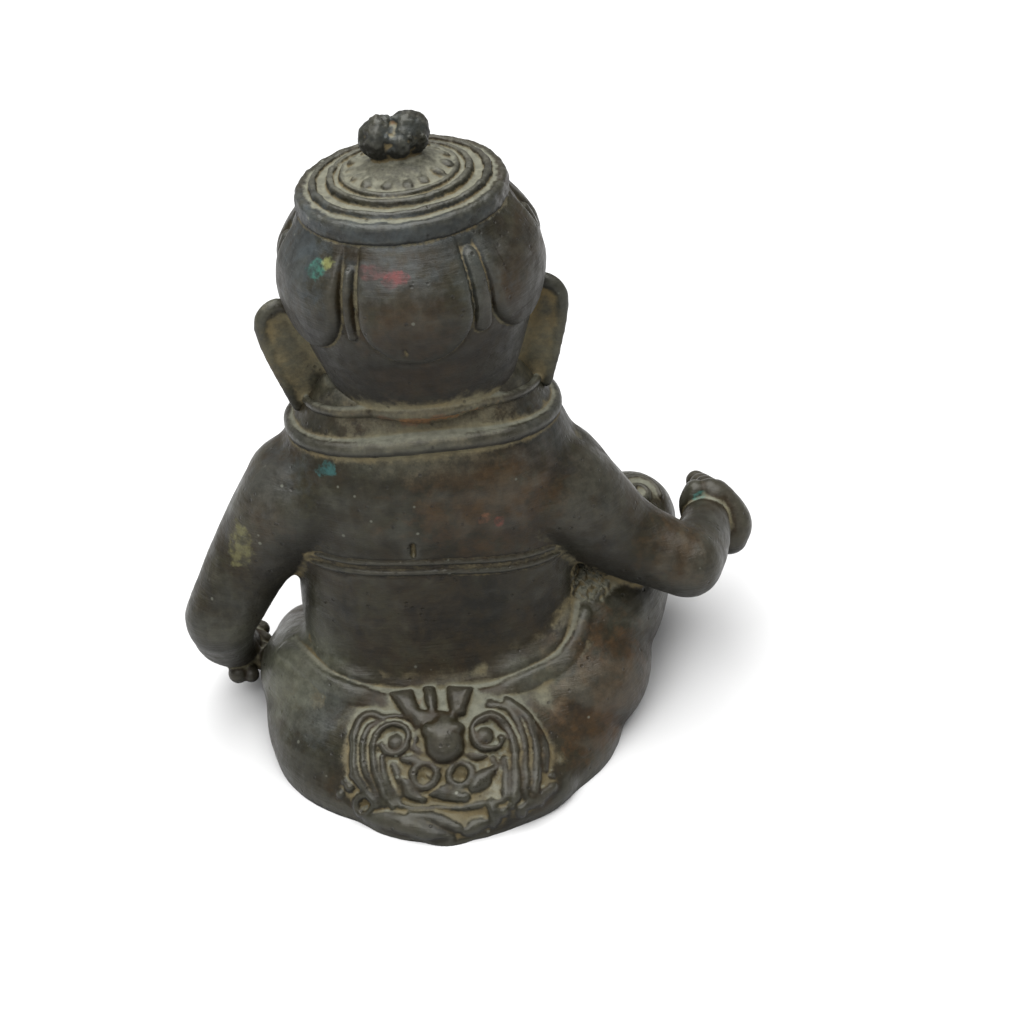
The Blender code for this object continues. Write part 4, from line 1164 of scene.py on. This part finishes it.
def noise(tree, place_on_skin, scale, detail=4.0, roughness=0.55, distortion=0.0):
    """An uneven field between 0 and 1 with about so many features to the metre."""
    node = tree.nodes.new("ShaderNodeTexNoise")
    put(tree, node.inputs["Vector"], place_on_skin)
    put(tree, node.inputs["Scale"], scale)
    put(tree, node.inputs["Detail"], detail)
    put(tree, node.inputs["Roughness"], roughness)
    put(tree, node.inputs["Distortion"], distortion)
    return node.outputs[0]


def ramp(tree, value, low, high, to_low=0.0, to_high=1.0):
    """Eases a value from one range into another and holds it there."""
    node = tree.nodes.new("ShaderNodeMapRange")
    node.interpolation_type = "SMOOTHSTEP"
    for socket, item in zip(node.inputs, (value, low, high, to_low, to_high)):
        put(tree, socket, item)
    return node.outputs[0]


def blend_colour(tree, share, first, second, kind="MIX"):
    """A colour between two, by a share that changes over the surface."""
    node = tree.nodes.new("ShaderNodeMix")
    node.data_type = "RGBA"
    node.blend_type = kind
    put(tree, node.inputs[0], share)
    put(tree, node.inputs[6], (*first, 1) if isinstance(first, tuple) and len(first) == 3 else first)
    put(tree, node.inputs[7], (*second, 1) if isinstance(second, tuple) and len(second) == 3 else second)
    return node.outputs[2]


def ramp_grey(tree, value, low, high, to_low, to_high):
    """A grey that eases from one brightness to another."""
    grey = tree.nodes.new("ShaderNodeCombineColor")
    level = ramp(tree, value, low, high, to_low, to_high)
    for socket in grey.inputs:
        tree.links.new(level, socket)
    return grey.outputs[0]


def shader_group(name, inputs, outputs):
    """An empty node group with its sockets: inputs as (name, kind, default), outputs as (name, kind)."""
    group = bpy.data.node_groups.new(name, "ShaderNodeTree")
    for socket_name, kind, default in inputs:
        socket = group.interface.new_socket(socket_name, in_out="INPUT", socket_type="NodeSocket" + kind)
        if default is not None:
            socket.default_value = default
    for socket_name, kind in outputs:
        group.interface.new_socket(socket_name, in_out="OUTPUT", socket_type="NodeSocket" + kind)
    return group, group.nodes.new("NodeGroupInput").outputs, group.nodes.new("NodeGroupOutput").inputs


def use_group(tree, group, **values):
    """Places a node group in a material with its own values, and returns its outputs."""
    node = tree.nodes.new("ShaderNodeGroup")
    node.node_tree = group
    for name, value in values.items():
        put(tree, node.inputs[name.replace("_", " ")], value)
    return node.outputs


def spot_group():
    """A ragged spot: 1 near its centre and 0 past its radius, its border torn by an uneven field."""
    group, given, out = shader_group(
        "ragged_spot",
        (("Place", "Vector", None), ("Torn", "Float", 0.5), ("Centre", "Vector", None),
         ("Radius", "Float", 0.01), ("Stretch", "Vector", (1, 1, 1)), ("Raggedness", "Float", 0.5),
         ("Core", "Float", SPOT_CORE)),
        (("Mask", "Float"),),
    )
    offset = vector_step(group, "SUBTRACT", given["Place"], given["Centre"])
    length = vector_step(group, "LENGTH", vector_step(group, "MULTIPLY", offset, given["Stretch"]))
    share = reckon(group, "DIVIDE", length, given["Radius"])
    tear = times(group, less(group, given["Torn"], 0.5), given["Raggedness"])
    edge = reckon(group, "MULTIPLY_ADD", tear, SPOT_TEAR, share)
    group.links.new(ramp(group, edge, 1.0, given["Core"]), out["Mask"])
    return group


def speck_group():
    """Sparse specks: the cells of a scattered pattern whose chance is high, each a small round dot."""
    group, given, out = shader_group(
        "scattered_specks",
        (("Place", "Vector", None), ("Scale", "Float", 400.0), ("Size", "Float", 0.25),
         ("Share", "Float", 0.1)),
        (("Mask", "Float"),),
    )
    distance, chance = cells_of(group, given["Place"], given["Scale"])
    chosen = reckon(group, "LESS_THAN", chance[0], given["Share"])
    dot = ramp(group, distance, given["Size"], times(group, given["Size"], 0.5))
    group.links.new(times(group, chosen, dot), out["Mask"])
    return group


def dust_group():
    """Dust that has settled: where the skin is hollow or faces up, broken up by noise."""
    group, given, out = shader_group(
        "settled_dust",
        (("Place", "Vector", None), ("Hollow", "Float", 0.0), ("Upward", "Float", 0.0),
         ("Amount", "Float", 0.5), ("Scale", "Float", 60.0)),
        (("Mask", "Float"),),
    )
    total = plus(group, plus(group, given["Hollow"], given["Upward"]), given["Amount"])
    for finer, detail, roughness, strength in DUST_FIELDS:
        field = noise(group, given["Place"], times(group, given["Scale"], finer), detail, roughness)
        total = reckon(group, "MULTIPLY_ADD", less(group, field, 0.5), strength, total)
    group.links.new(ramp(group, total, *DUST_SETTLES), out["Mask"])
    return group


def grain_group():
    """The cast skin: soft dents, a fine grain, faint level brush marks and small pits."""
    group, given, out = shader_group(
        "cast_grain",
        (("Place", "Vector", None), ("Dents", "Float", 1.0), ("Grain", "Float", 1.0), ("Pits", "Float", 1.0),
         ("Strokes", "Float", 1.0)),
        (("Height", "Float"), ("Pit", "Float")),
    )
    height = 0.0
    for name, squeeze, field, strength in GRAIN_FIELDS:
        squeezed = vector_step(group, "MULTIPLY", given["Place"], squeeze)
        level = times(group, noise(group, squeezed, *field), given[name])
        height = reckon(group, "MULTIPLY_ADD", level, strength, height)
    distance, chance = cells_of(group, given["Place"], PIT_SCALE)
    chosen = reckon(group, "LESS_THAN", chance[1], PIT_SHARE)
    pit = times(group, chosen, ramp(group, distance, *PIT_EDGE))
    depth = times(group, times(group, pit, given["Pits"]), PIT_STRENGTH)
    group.links.new(less(group, height, depth), out["Height"])
    group.links.new(pit, out["Pit"])
    return group


# Tones of the bronze, of what has settled on it and of its painted shade, sheen and highlight, as linear red,
# green and blue
TONES = {
    "near_black": (0.0056, 0.0052, 0.0034),
    "olive_dark": (0.0112, 0.01, 0.0046),
    "brown_dark": (0.019, 0.0124, 0.0046),
    "olive_pale": (0.023, 0.0215, 0.011),
    "warm_brown": (0.04, 0.0205, 0.006),
    "painted_sheen_grey": (0.036, 0.043, 0.045),
    "rubbed_edge": (0.056, 0.056, 0.045),
    "earth_dust": (0.115, 0.087, 0.041),
    "grey_dust": (0.108, 0.1, 0.064),
    "pale_dust": (0.135, 0.14, 0.112),
    "pale_dust_and_highlight": (0.105, 0.108, 0.078),
    "yellow_dust": (0.072, 0.054, 0.023),
    "orange_dust": (0.19, 0.085, 0.032),
}

# Patches of the skin where another tone shows: (centre, radius, stretch, raggedness, strength)
RUBBED_BROWN = (
    ((-0.085, 0.17, 0.46), 0.15, (1, 1, 1.3), 0.9, 0.7),
    ((-0.01, 0.175, 0.665), 0.11, (1, 1, 2.2), 0.9, 0.55),
    ((-0.26, 0.2, 0.1), 0.14, (1, 1, 1), 0.8, 1.0),
    ((0.01, 0.195, 0.76), 0.08, (1, 1, 1.2), 0.9, 0.6),
    ((-0.13, 0.14, 0.8), 0.05, (1, 1, 0.8), 0.9, 0.5),
    ((-0.37, 0.11, 0.29), 0.08, (1, 1, 1), 0.9, 0.55),
    ((0.23, 0.11, 0.43), 0.05, (1, 1, 1), 0.9, 0.45),
    ((0.12, 0.25, 0.02), 0.08, (1, 1, 1.5), 0.9, 0.45),
)
# Painted shade: dark patches where shade falls, on the head under the cap, below the collar, low on the back
# and on the left arm
PAINTED_SHADE = (
    ((0.03, 0.165, 0.27), 0.13, (0.8, 1, 1.3), 0.9, 0.8),
    ((0.29, 0.11, 0.29), 0.09, (1, 1, 0.9), 0.9, 0.6),
    ((0.09, 0.16, 0.66), 0.07, (1, 1, 1.4), 0.9, 0.6),
    ((-0.15, 0.13, 0.52), 0.06, (1, 1, 1), 0.9, 0.5),
    ((0.14, 0.15, 0.74), 0.06, (1, 1, 0.8), 0.9, 0.65),
    ((-0.14, 0.15, 0.73), 0.05, (1, 1, 0.8), 0.9, 0.6),
    ((0.0, 0.13, 0.65), 0.17, (0.9, 1, 2.2), 0.7, 0.8),
    ((0.33, 0.07, 0.22), 0.1, (1, 1, 1), 0.9, 0.6),
    ((0.22, 0.08, 0.44), 0.07, (1, 1, 1), 0.9, 0.4),
)
# Painted sheen: cool grey patches where soft highlights fall, on the cap, its rim and knob, and on the
# shoulders
PAINTED_SHEEN = (
    ((0.15, 0.08, 0.845), 0.105, (1, 1, 0.8), 0.7, 0.95),
    ((0.02, 0.17, 0.83), 0.075, (0.7, 1, 1.8), 0.9, 0.6),
    ((0.22, 0.08, 0.49), 0.085, (1, 1, 1), 0.9, 0.45),
    ((-0.004, 0.0, 0.962), 0.06, (1, 1, 1), 0.5, 0.75),
    ((0.0, 0.15, 0.882), 0.17, (0.8, 1, 5.0), 0.5, 0.85),
    ((-0.09, 0.14, 0.825), 0.07, (1, 1, 1), 0.9, 0.55),
    ((0.19, 0.17, 0.1), 0.08, (1, 1, 0.8), 0.9, 0.45),
    ((-0.17, 0.08, 0.52), 0.07, (1, 1, 1), 0.9, 0.4),
)
# Pale patches: a painted highlight on the top of the left hip, and pale dust on the ears, at the collar and
# low behind on the right
PALE_DUST_AND_HIGHLIGHT = (
    ((0.25, 0.1, 0.15), 0.15, (1, 1, 1.1), 0.25, 1.0),
    ((0.19, 0.02, 0.64), 0.09, (1, 1, 0.75), 0.3, 0.45),
    ((-0.195, 0.02, 0.63), 0.09, (1, 1, 0.75), 0.3, 0.45),
    ((0.015, 0.15, 0.545), 0.15, (0.8, 1, 2.8), 0.6, 0.4),
    ((-0.15, 0.2, 0.15), 0.08, (0.7, 1, 1.4), 0.6, 0.3),
)
DUSTY = (
    ((0.0, 0.0, 0.905), 0.17, (0.9, 0.9, 2.2), 0.3, 0.5),
    ((0.015, 0.3, 0.09), 0.19, (0.9, 1, 1.2), 0.7, 0.22),
    ((0.0, 0.12, 0.59), 0.23, (0.9, 0.6, 3.2), 0.5, 0.78),
    ((0.01, 0.15, 0.535), 0.16, (0.8, 1, 2.8), 0.9, 0.45),
    ((0.19, 0.02, 0.64), 0.105, (1, 1, 0.75), 0.4, 0.72),
    ((-0.195, 0.02, 0.63), 0.105, (1, 1, 0.75), 0.4, 0.72),
    ((0.245, 0.09, 0.15), 0.11, (1, 1, 1), 0.6, 0.25),
    ((-0.238, 0.078, 0.235), 0.052, (1, 1, 1), 0.5, 0.8),
    ((-0.195, 0.12, 0.19), 0.045, (1, 1, 0.6), 0.8, 0.55),
    ((-0.335, -0.175, 0.2), 0.11, (1, 1, 1), 0.8, 0.3),
    ((-0.05, 0.15, 0.53), 0.07, (0.6, 1, 1.4), 0.9, 0.34),
    ((0.09, 0.15, 0.53), 0.06, (0.6, 1, 1.4), 0.9, 0.3),
)
YELLOW_EARTH = (
    ((0.015, 0.33, 0.02), 0.13, (1, 1, 1.5), 0.9, 0.6),
    ((-0.13, 0.29, 0.04), 0.08, (1, 1, 1), 0.9, 0.8),
    ((0.018, 0.3, 0.085), 0.06, (1, 1, 1), 0.8, 0.55),
    ((0.01, 0.2, 0.18), 0.05, (0.6, 1, 1.5), 0.9, 0.4),
)
ORANGE_EARTH = (
    ((-0.018, 0.16, 0.59), 0.07, (0.7, 1, 6), 0.9, 0.65),
    ((0.036, 0.215, 0.172), 0.017, (1, 1, 0.6), 0.5, 0.85),
    ((-0.004, 0.004, 0.975), 0.014, (1, 1, 1), 0.6, 0.55),
    ((-0.22, 0.28, 0.05), 0.05, (1, 1, 1), 0.9, 0.6),
)
# Traces of old pigment: (centre, radius, stretch, colour, strength)
PIGMENT = (
    ((0.117, 0.121, 0.829), 0.016, (0.9, 1, 0.8), (0.03, 0.125, 0.095), 0.62),
    ((0.102, 0.128, 0.842), 0.012, (1, 1, 1), (0.17, 0.18, 0.06), 0.6),
    ((0.04, 0.163, 0.838), 0.018, (0.55, 1, 2.0), (0.09, 0.028, 0.026), 0.42),
    ((0.014, 0.174, 0.831), 0.017, (0.8, 1, 1.3), (0.125, 0.026, 0.026), 0.55),
    ((0.135, 0.121, 0.512), 0.017, (0.7, 1, 1.2), (0.018, 0.085, 0.085), 0.6),
    ((-0.103, 0.164, 0.423), 0.009, (1, 1, 1), (0.15, 0.03, 0.022), 0.4),
    ((-0.08, 0.168, 0.433), 0.011, (1, 1, 1), (0.12, 0.05, 0.025), 0.55),
    ((0.276, 0.093, 0.369), 0.034, (1.3, 1, 0.8), (0.12, 0.115, 0.045), 0.5),
    ((0.197, 0.097, 0.39), 0.01, (1, 1, 1), (0.12, 0.045, 0.035), 0.45),
    ((-0.436, -0.078, 0.262), 0.013, (1, 1, 1), (0.03, 0.15, 0.13), 0.5),
)


# Uneven fields of the skin: (features to the metre, detail, roughness, distortion)
TORN_FIELD = (160, 6, 0.66)
BROAD_FIELD = (22, 5, 0.62, 0.5)
BLOTCH_FIELD = (60, 5, 0.62, 0.8)
FINE_FIELD = (260, 5, 0.68)
# Ranges over which a field or slope brings in a tone: (from, to, share there, share here)
BROWN_RANGE = (0.36, 0.64)
OLIVE_RANGE = (0.46, 0.7, 0, 0.75)
BLACK_RANGE = (0.44, 0.28, 0, 0.7)
EDGE_RANGE = (0.15, 0.8, 0, 0.4)
# Painted shade: the colour goes near black where the skin faces down
UNDERSIDE_RANGE = (0.2, -0.45, 0, 0.65)
UPWARD_RANGE = (0.45, 0.95, 0, 0.3)
GREY_DUST_RANGE = (0.3, 0.7)
PALE_DUST_RANGE = (0.5, 0.95, 0, 0.75)
PIGMENT_RANGE = (0.36, 0.58, 0.25, 1)
SHADE_RANGE = (0.25, 0.75, 0.72, 1.28)
# Patches over the mottled skin, in turn, painted shade, painted sheen and a painted highlight among them:
# (patches, core, tone, range of the blotches)
PATCHES = (
    (PAINTED_SHADE, 0.3, "near_black", (0.62, 0.4)),
    (RUBBED_BROWN, 0.3, "warm_brown", (0.3, 0.62, 0.35, 1)),
    (PAINTED_SHEEN, 0.2, "painted_sheen_grey", (0.3, 0.62, 0.45, 1)),
    (PALE_DUST_AND_HIGHLIGHT, 0.0, "pale_dust_and_highlight", (0.3, 0.6, 0.7, 1)),
)
SPOT_CORE = 0.62
SPOT_TEAR = 3.0
DUSTY_CORE = 0.15
# Dust: its fields (finer than its scale, detail, roughness, strength) and where it starts and is full
DUST_FIELDS = ((1, 6, 0.6, 0.9), (12, 3, 0.6, 0.45))
DUST_SETTLES = (0.42, 1.15)
DUST_AMOUNT = 0.04
DUST_SCALE = 80.0
DUST_COVER = 0.9
WIPED_SHARE = 0.75
# Grain of the cast: (name, squeeze, field, strength), then the pits between
GRAIN_FIELDS = (
    ("Dents", (1, 1, 1), (90, 3, 0.5), 1.0),
    ("Grain", (1, 1, 1), (900, 4, 0.65), 0.1),
    ("Strokes", (1, 1, 9), (70, 4, 0.6), 0.35),
)
PIT_SCALE = 330.0
PIT_SHARE = 0.16
PIT_EDGE = (0.3, 0.08)
PIT_STRENGTH = 0.35
PIT_TONE = (0.01, 0.009, 0.007)
# Specks: (features to the metre, size, share), and how much of a speck or pit shows
SPECKS = (190.0, 0.16, 0.1)
SPECK_SHOWS = 0.5
# Roughness: (range of the blotches, range of the fine field), and what dust, underside and edges add
POLISH_RANGES = ((0.3, 0.7, 0.54, 0.42), (0.3, 0.7, -0.07, 0.08))
POLISH_LOST = (0.4, 0.25, -0.12)
METAL_SHARE = 0.15
SHEEN = 0.28
BUMP = (0.6, 0.0012)


def dark_bronze():
    """Bronze gone dark: a mottled brown and olive skin, rubbed warm in places, with dust in the hollows, and
    painted shade, sheen and highlight.
    """
    material = bpy.data.materials.get("aged_bronze")
    if material:
        return material
    material = bpy.data.materials.new("aged_bronze")
    material.use_nodes = True
    tree = material.node_tree
    shader = tree.nodes["Principled BSDF"]
    spot, speck, dust, grain = spot_group(), speck_group(), dust_group(), grain_group()
    spot_place = tree.nodes.new("ShaderNodeTexCoord").outputs["Object"]
    hollow, edge, wiped = (kept_value(tree, name) for name in ("hollow", "edge", "wiped"))
    skin = tree.nodes.new("ShaderNodeNewGeometry")
    facing = tree.nodes.new("ShaderNodeSeparateXYZ")
    tree.links.new(skin.outputs["Normal"], facing.inputs[0])
    rise = facing.outputs[2]
    torn, broad, blotch, fine = (
        noise(tree, spot_place, *field) for field in (TORN_FIELD, BROAD_FIELD, BLOTCH_FIELD, FINE_FIELD)
    )

    def spots(patches, core=SPOT_CORE):
        """The strongest of several ragged spots, each full inside a share of its radius."""
        total = None
        for centre, radius, stretch, raggedness, strength in patches:
            centre = tuple(place(*centre) + PACKED_SHIFT)
            mask = use_group(
                tree, spot, Place=spot_place, Torn=torn, Centre=centre, Radius=radius * PACKED_HEIGHT,
                Stretch=stretch, Raggedness=raggedness, Core=core
            )["Mask"]
            mask = times(tree, mask, strength)
            total = mask if total is None else reckon(tree, "MAXIMUM", total, mask)
        return total

    def tinted(under, value, span, tone):
        """The colour so far, with a tone brought in where a value goes through a range."""
        return blend_colour(tree, ramp(tree, value, *span), under, tone)

    tones = {name: tuple(getattr(bpy.context.scene.guardian, name)) for name in TONES}
    colour = tinted(tones["olive_dark"], broad, BROWN_RANGE, tones["brown_dark"])
    colour = tinted(colour, blotch, OLIVE_RANGE, tones["olive_pale"])
    colour = tinted(colour, blotch, BLACK_RANGE, tones["near_black"])
    # Among these patches are painted shade, painted sheen and a painted highlight
    for patches, core, tone, span in PATCHES:
        share = times(tree, spots(patches, core), ramp(tree, blotch, *span))
        colour = blend_colour(tree, share, colour, tones[tone])
    colour = tinted(colour, edge, EDGE_RANGE, tones["rubbed_edge"])
    # Painted shade: the colour darkens to near black where the skin faces down
    underside = ramp(tree, rise, *UNDERSIDE_RANGE)
    colour = blend_colour(tree, underside, colour, tones["near_black"])
    upward = plus(tree, ramp(tree, rise, *UPWARD_RANGE), spots(DUSTY, DUSTY_CORE))
    upward = less(tree, upward, times(tree, wiped, WIPED_SHARE))
    settled = use_group(tree, dust, Place=spot_place, Hollow=hollow, Upward=upward, Amount=DUST_AMOUNT,
                        Scale=DUST_SCALE)["Mask"]
    dusty = times(tree, settled, DUST_COVER)
    dust_colour = tinted(tones["earth_dust"], broad, GREY_DUST_RANGE, tones["grey_dust"])
    dust_colour = tinted(dust_colour, rise, PALE_DUST_RANGE, tones["pale_dust"])
    dust_colour = blend_colour(tree, spots(YELLOW_EARTH), dust_colour, tones["yellow_dust"])
    dust_colour = blend_colour(tree, spots(ORANGE_EARTH), dust_colour, tones["orange_dust"])
    colour = blend_colour(tree, dusty, colour, dust_colour)
    for centre, radius, stretch, tint, strength in PIGMENT:
        mask = spots(((centre, radius, stretch, 0.8, strength),))
        colour = blend_colour(tree, times(tree, mask, ramp(tree, fine, *PIGMENT_RANGE)), colour, tint)
    scale, size, share = SPECKS
    specks = use_group(tree, speck, Place=spot_place, Scale=scale, Size=size, Share=share)["Mask"]
    colour = blend_colour(tree, times(tree, specks, SPECK_SHOWS), colour, tones["pale_dust"])
    relief = use_group(tree, grain, Place=spot_place)
    colour = blend_colour(tree, times(tree, relief["Pit"], SPECK_SHOWS), colour, PIT_TONE)
    colour = blend_colour(tree, 1.0, colour, ramp_grey(tree, fine, *SHADE_RANGE), "MULTIPLY")
    polish = plus(tree, *(ramp(tree, value, *span) for value, span in zip((blotch, fine), POLISH_RANGES)))
    for value, lost in zip((dusty, underside, edge), POLISH_LOST):
        polish = reckon(tree, "MULTIPLY_ADD", value, lost, polish, clamp=value is edge)
    bump = tree.nodes.new("ShaderNodeBump")
    bump.inputs["Strength"].default_value, bump.inputs["Distance"].default_value = BUMP
    tree.links.new(relief["Height"], bump.inputs["Height"])
    metal = times(tree, less(tree, 1.0, dusty), METAL_SHARE)
    for name, value in (
        ("Base Color", colour), ("Roughness", polish), ("Metallic", metal),
        ("Specular IOR Level", SHEEN), ("Normal", bump.outputs["Normal"]),
    ):
        put(tree, shader.inputs[name], value)
    return material


def skull_shape():
    """The leaned head with its cap, coarse, as something for the rings to lie on."""
    points, quads = capped_skull(240, 160)
    return head_leaned(points), quads


def turned_skull(columns=120):
    """The bare skull below the cap, as an outline turned round the axis."""
    outline = np.concatenate(([(0.0, SKULL[0][1])], smooth_path(SKULL, 8), [(0.0, SKULL_TOP)]))
    angle = np.linspace(-math.pi, math.pi, columns, endpoint=False)[None]
    radius = outline[:, :1] - SKULL_INSET
    up = np.broadcast_to(outline[:, 1:], (len(outline), columns))
    grid = np.stack((radius * np.sin(angle), radius * np.cos(angle), up), -1)
    return shape_of(grid[:, ::-1] * PACKED_HEIGHT)


def tone_setting(name):
    """A colour that a user can change, with the tone of that name as its usual value."""
    words = name.replace("_", " ")
    return bpy.props.FloatVectorProperty(
        name=words.capitalize(), description=f"Tone of the {words} parts of the skin", default=TONES[name],
        subtype="COLOR", size=3, min=0, max=1
    )


class GuardianSettings(bpy.types.PropertyGroup):
    """Sizes, tones and lights that a user can change"""

    fineness: bpy.props.FloatProperty(
        name="Fineness", description="Size of the smallest facet of the skin", default=0.0006, unit="LENGTH"
    )
    roughness_of_cast: bpy.props.FloatProperty(
        name="Cast unevenness", description="How uneven the cast skin is", default=0.00016, unit="LENGTH"
    )
    carving_relief: bpy.props.FloatProperty(
        name="Carving relief", description="Height of the carving behind against its usual height",
        default=1.0, subtype="FACTOR", min=0, max=2
    )
    overhead_power: bpy.props.FloatProperty(
        name="Overhead light", description="Power of the light above in watts", default=162.0, unit="POWER"
    )
    camera_side_power: bpy.props.FloatProperty(
        name="Camera side light", description="Power of the weaker light in watts", default=2.5, unit="POWER"
    )
    sky: bpy.props.FloatProperty(
        name="Sky", description="Strength of the light from all round", default=0.36, subtype="FACTOR"
    )
    floor_tone: bpy.props.FloatVectorProperty(
        name="Floor tone", description="Colour of the floor", default=(0.58, 0.58, 0.58), subtype="COLOR",
        size=3, min=0, max=1
    )
    near_black: tone_setting("near_black")
    olive_dark: tone_setting("olive_dark")
    brown_dark: tone_setting("brown_dark")
    olive_pale: tone_setting("olive_pale")
    warm_brown: tone_setting("warm_brown")
    painted_sheen_grey: tone_setting("painted_sheen_grey")
    rubbed_edge: tone_setting("rubbed_edge")
    earth_dust: tone_setting("earth_dust")
    grey_dust: tone_setting("grey_dust")
    pale_dust: tone_setting("pale_dust")
    pale_dust_and_highlight: tone_setting("pale_dust_and_highlight")
    yellow_dust: tone_setting("yellow_dust")
    orange_dust: tone_setting("orange_dust")


class GUARDIAN_OT_cast_body(bpy.types.Operator):
    """Casts the body with its limbs, rings and carved cloth"""

    bl_idname = "guardian.cast_body"
    bl_label = "Cast body"

    def execute(self, context):
        settings = context.scene.guardian
        body = shape_from(flesh())
        neck = skull_shape()
        core = surface_of([*trunk_shapes(), neck])
        collar = ring(core, COLLAR)
        skin = surface_of([body])
        shapes = [body, collar, ball(*LIP), knee_scroll(skin), *apron_pleats(skin), *extremities()]
        obj = mesh_of("guardian_body", shapes)
        melted(obj, settings.fineness, SKIN_SOFTENING)
        points = points_of(obj.data)
        normals = normals_of(obj.data)
        heights, clean = carved_heights(points, normals)
        heights, clean = worn_soft(obj.data, np.stack((heights, clean), 1)).T
        keep_on_points(obj.data, "wiped", clean)
        heights *= settings.carving_relief
        heights += waist_heights(points, core) + cut_heights(points, CUTS) + chip_heights(points)
        heights = heights * PACKED_HEIGHT + settings.roughness_of_cast * waves(points, *CAST_WAVES)
        put_points(obj.data, points + normals * heights[:, None])
        ready(obj, PIECE_TRIANGLES)
        return {"FINISHED"}


class GUARDIAN_OT_cast_head(bpy.types.Operator):
    """Casts the head with its cap, knob, face and ears"""

    bl_idname = "guardian.cast_head"
    bl_label = "Cast head"

    def execute(self, context):
        settings = context.scene.guardian
        face = melted(mesh_of("face", [turned_skull(), *face_shapes(), *ear_shapes()]), *FACE_MELT, 1)
        shapes = [shape_from(face), capped_skull(), *cap_leaf_shapes()]
        shapes = [(head_leaned(points), quads) for points, quads in shapes]
        core = surface_of([*trunk_shapes(), skull_shape()])
        shapes += knob_shapes()
        shapes.append(ring(core, NECK_CORD))
        obj = mesh_of("guardian_head", shapes)
        melted(obj, settings.fineness * HEAD_FINENESS, SKIN_SOFTENING)
        points = points_of(obj.data)
        normals = normals_of(obj.data)
        heights = settings.roughness_of_cast * waves(points, *CAST_WAVES)
        heights += (cut_heights(points, CAP_CUTS) + top_wear(points)) * PACKED_HEIGHT
        put_points(obj.data, points + normals * heights[:, None])
        ready(obj, PIECE_TRIANGLES)
        return {"FINISHED"}


class GUARDIAN_OT_set_stage(bpy.types.Operator):
    """Sets the floor, the soft lights and the camera"""

    bl_idname = "guardian.set_stage"
    bl_label = "Set stage"

    def execute(self, context):
        set_camera()
        set_lights(context.scene.guardian)
        return {"FINISHED"}


def set_camera():
    """The camera behind and above the figure, aimed at its middle."""
    camera = bpy.data.objects.new("camera", bpy.data.cameras.new("camera"))
    bpy.context.scene.collection.objects.link(camera)
    camera.data.lens = CAMERA_LENS
    shift = Vector(PACKED_SHIFT)
    start = Vector(place(*CAMERA_PLACE)) + shift
    look = Vector(place(*CAMERA_AIM)) + shift - start
    turn = look.to_track_quat("-Z", "Y").to_matrix().to_4x4() @ Matrix.Rotation(CAMERA_ROLL, 4, "Z")
    camera.matrix_world = Matrix.Translation(start) @ turn
    camera.data.clip_start = CAMERA_NEAREST
    bpy.context.scene.camera = camera


def area_light(name, location, aim, size, power):
    """A square soft light at a place, aimed at another."""
    light = bpy.data.lights.new(name, "AREA")
    light.size = size
    light.energy = power
    obj = bpy.data.objects.new(name, light)
    bpy.context.scene.collection.objects.link(obj)
    turn = (Vector(aim) - Vector(location)).to_track_quat("-Z", "Y").to_matrix().to_4x4()
    obj.matrix_world = Matrix.Translation(location) @ turn


def set_lights(settings):
    """Soft light from above, a weaker one from the camera's side, and a plain pale floor."""
    scene = bpy.context.scene
    scene.view_settings.view_transform = "Standard"
    world = bpy.data.worlds.new("studio")
    world.use_nodes = True
    world.node_tree.nodes["Background"].inputs[0].default_value = (1, 1, 1, 1)
    world.node_tree.nodes["Background"].inputs[1].default_value = settings.sky
    scene.world = world
    area_light("overhead", *OVERHEAD, settings.overhead_power)
    area_light("camera_side", *CAMERA_SIDE, settings.camera_side_power)
    mesh = bpy.data.meshes.new("floor")
    corners = [(x * FLOOR_HALF, y * FLOOR_HALF, 0) for x, y in ((-1, -1), (1, -1), (1, 1), (-1, 1))]
    mesh.from_pydata(corners, [], [(0, 1, 2, 3)])
    floor = bpy.data.objects.new("floor", mesh)
    scene.collection.objects.link(floor)
    material = bpy.data.materials.new("pale_floor")
    material.use_nodes = True
    shader = material.node_tree.nodes["Principled BSDF"]
    shader.inputs["Base Color"].default_value = (*settings.floor_tone, 1)
    shader.inputs["Roughness"].default_value = FLOOR_ROUGHNESS
    mesh.materials.append(material)


class GUARDIAN_PT_panel(bpy.types.Panel):
    """Lists the figurine's operators and settings"""

    bl_label = "Guardian"
    bl_space_type = "VIEW_3D"
    bl_region_type = "UI"
    bl_category = "Guardian"

    def draw(self, context):
        """Lists every setting, then a button for every operator"""
        layout = self.layout
        for name in GuardianSettings.__annotations__:
            layout.prop(context.scene.guardian, name)
        for name in ("guardian.cast_body", "guardian.cast_head", "guardian.set_stage"):
            layout.operator(name)


CLASSES = (
    GuardianSettings, GUARDIAN_OT_cast_body, GUARDIAN_OT_cast_head, GUARDIAN_OT_set_stage, GUARDIAN_PT_panel
)


def register():
    """Adds the classes and the settings to Blender."""
    for cls in CLASSES:
        bpy.utils.register_class(cls)
    bpy.types.Scene.guardian = bpy.props.PointerProperty(type=GuardianSettings)


def unregister():
    """Takes the settings and the classes away again."""
    del bpy.types.Scene.guardian
    for cls in reversed(CLASSES):
        bpy.utils.unregister_class(cls)


def main():
    """Builds the stage and both pieces."""
    register()
    bpy.ops.guardian.set_stage()
    bpy.ops.guardian.cast_body()
    bpy.ops.guardian.cast_head()


if __name__ == "__main__":
    main()
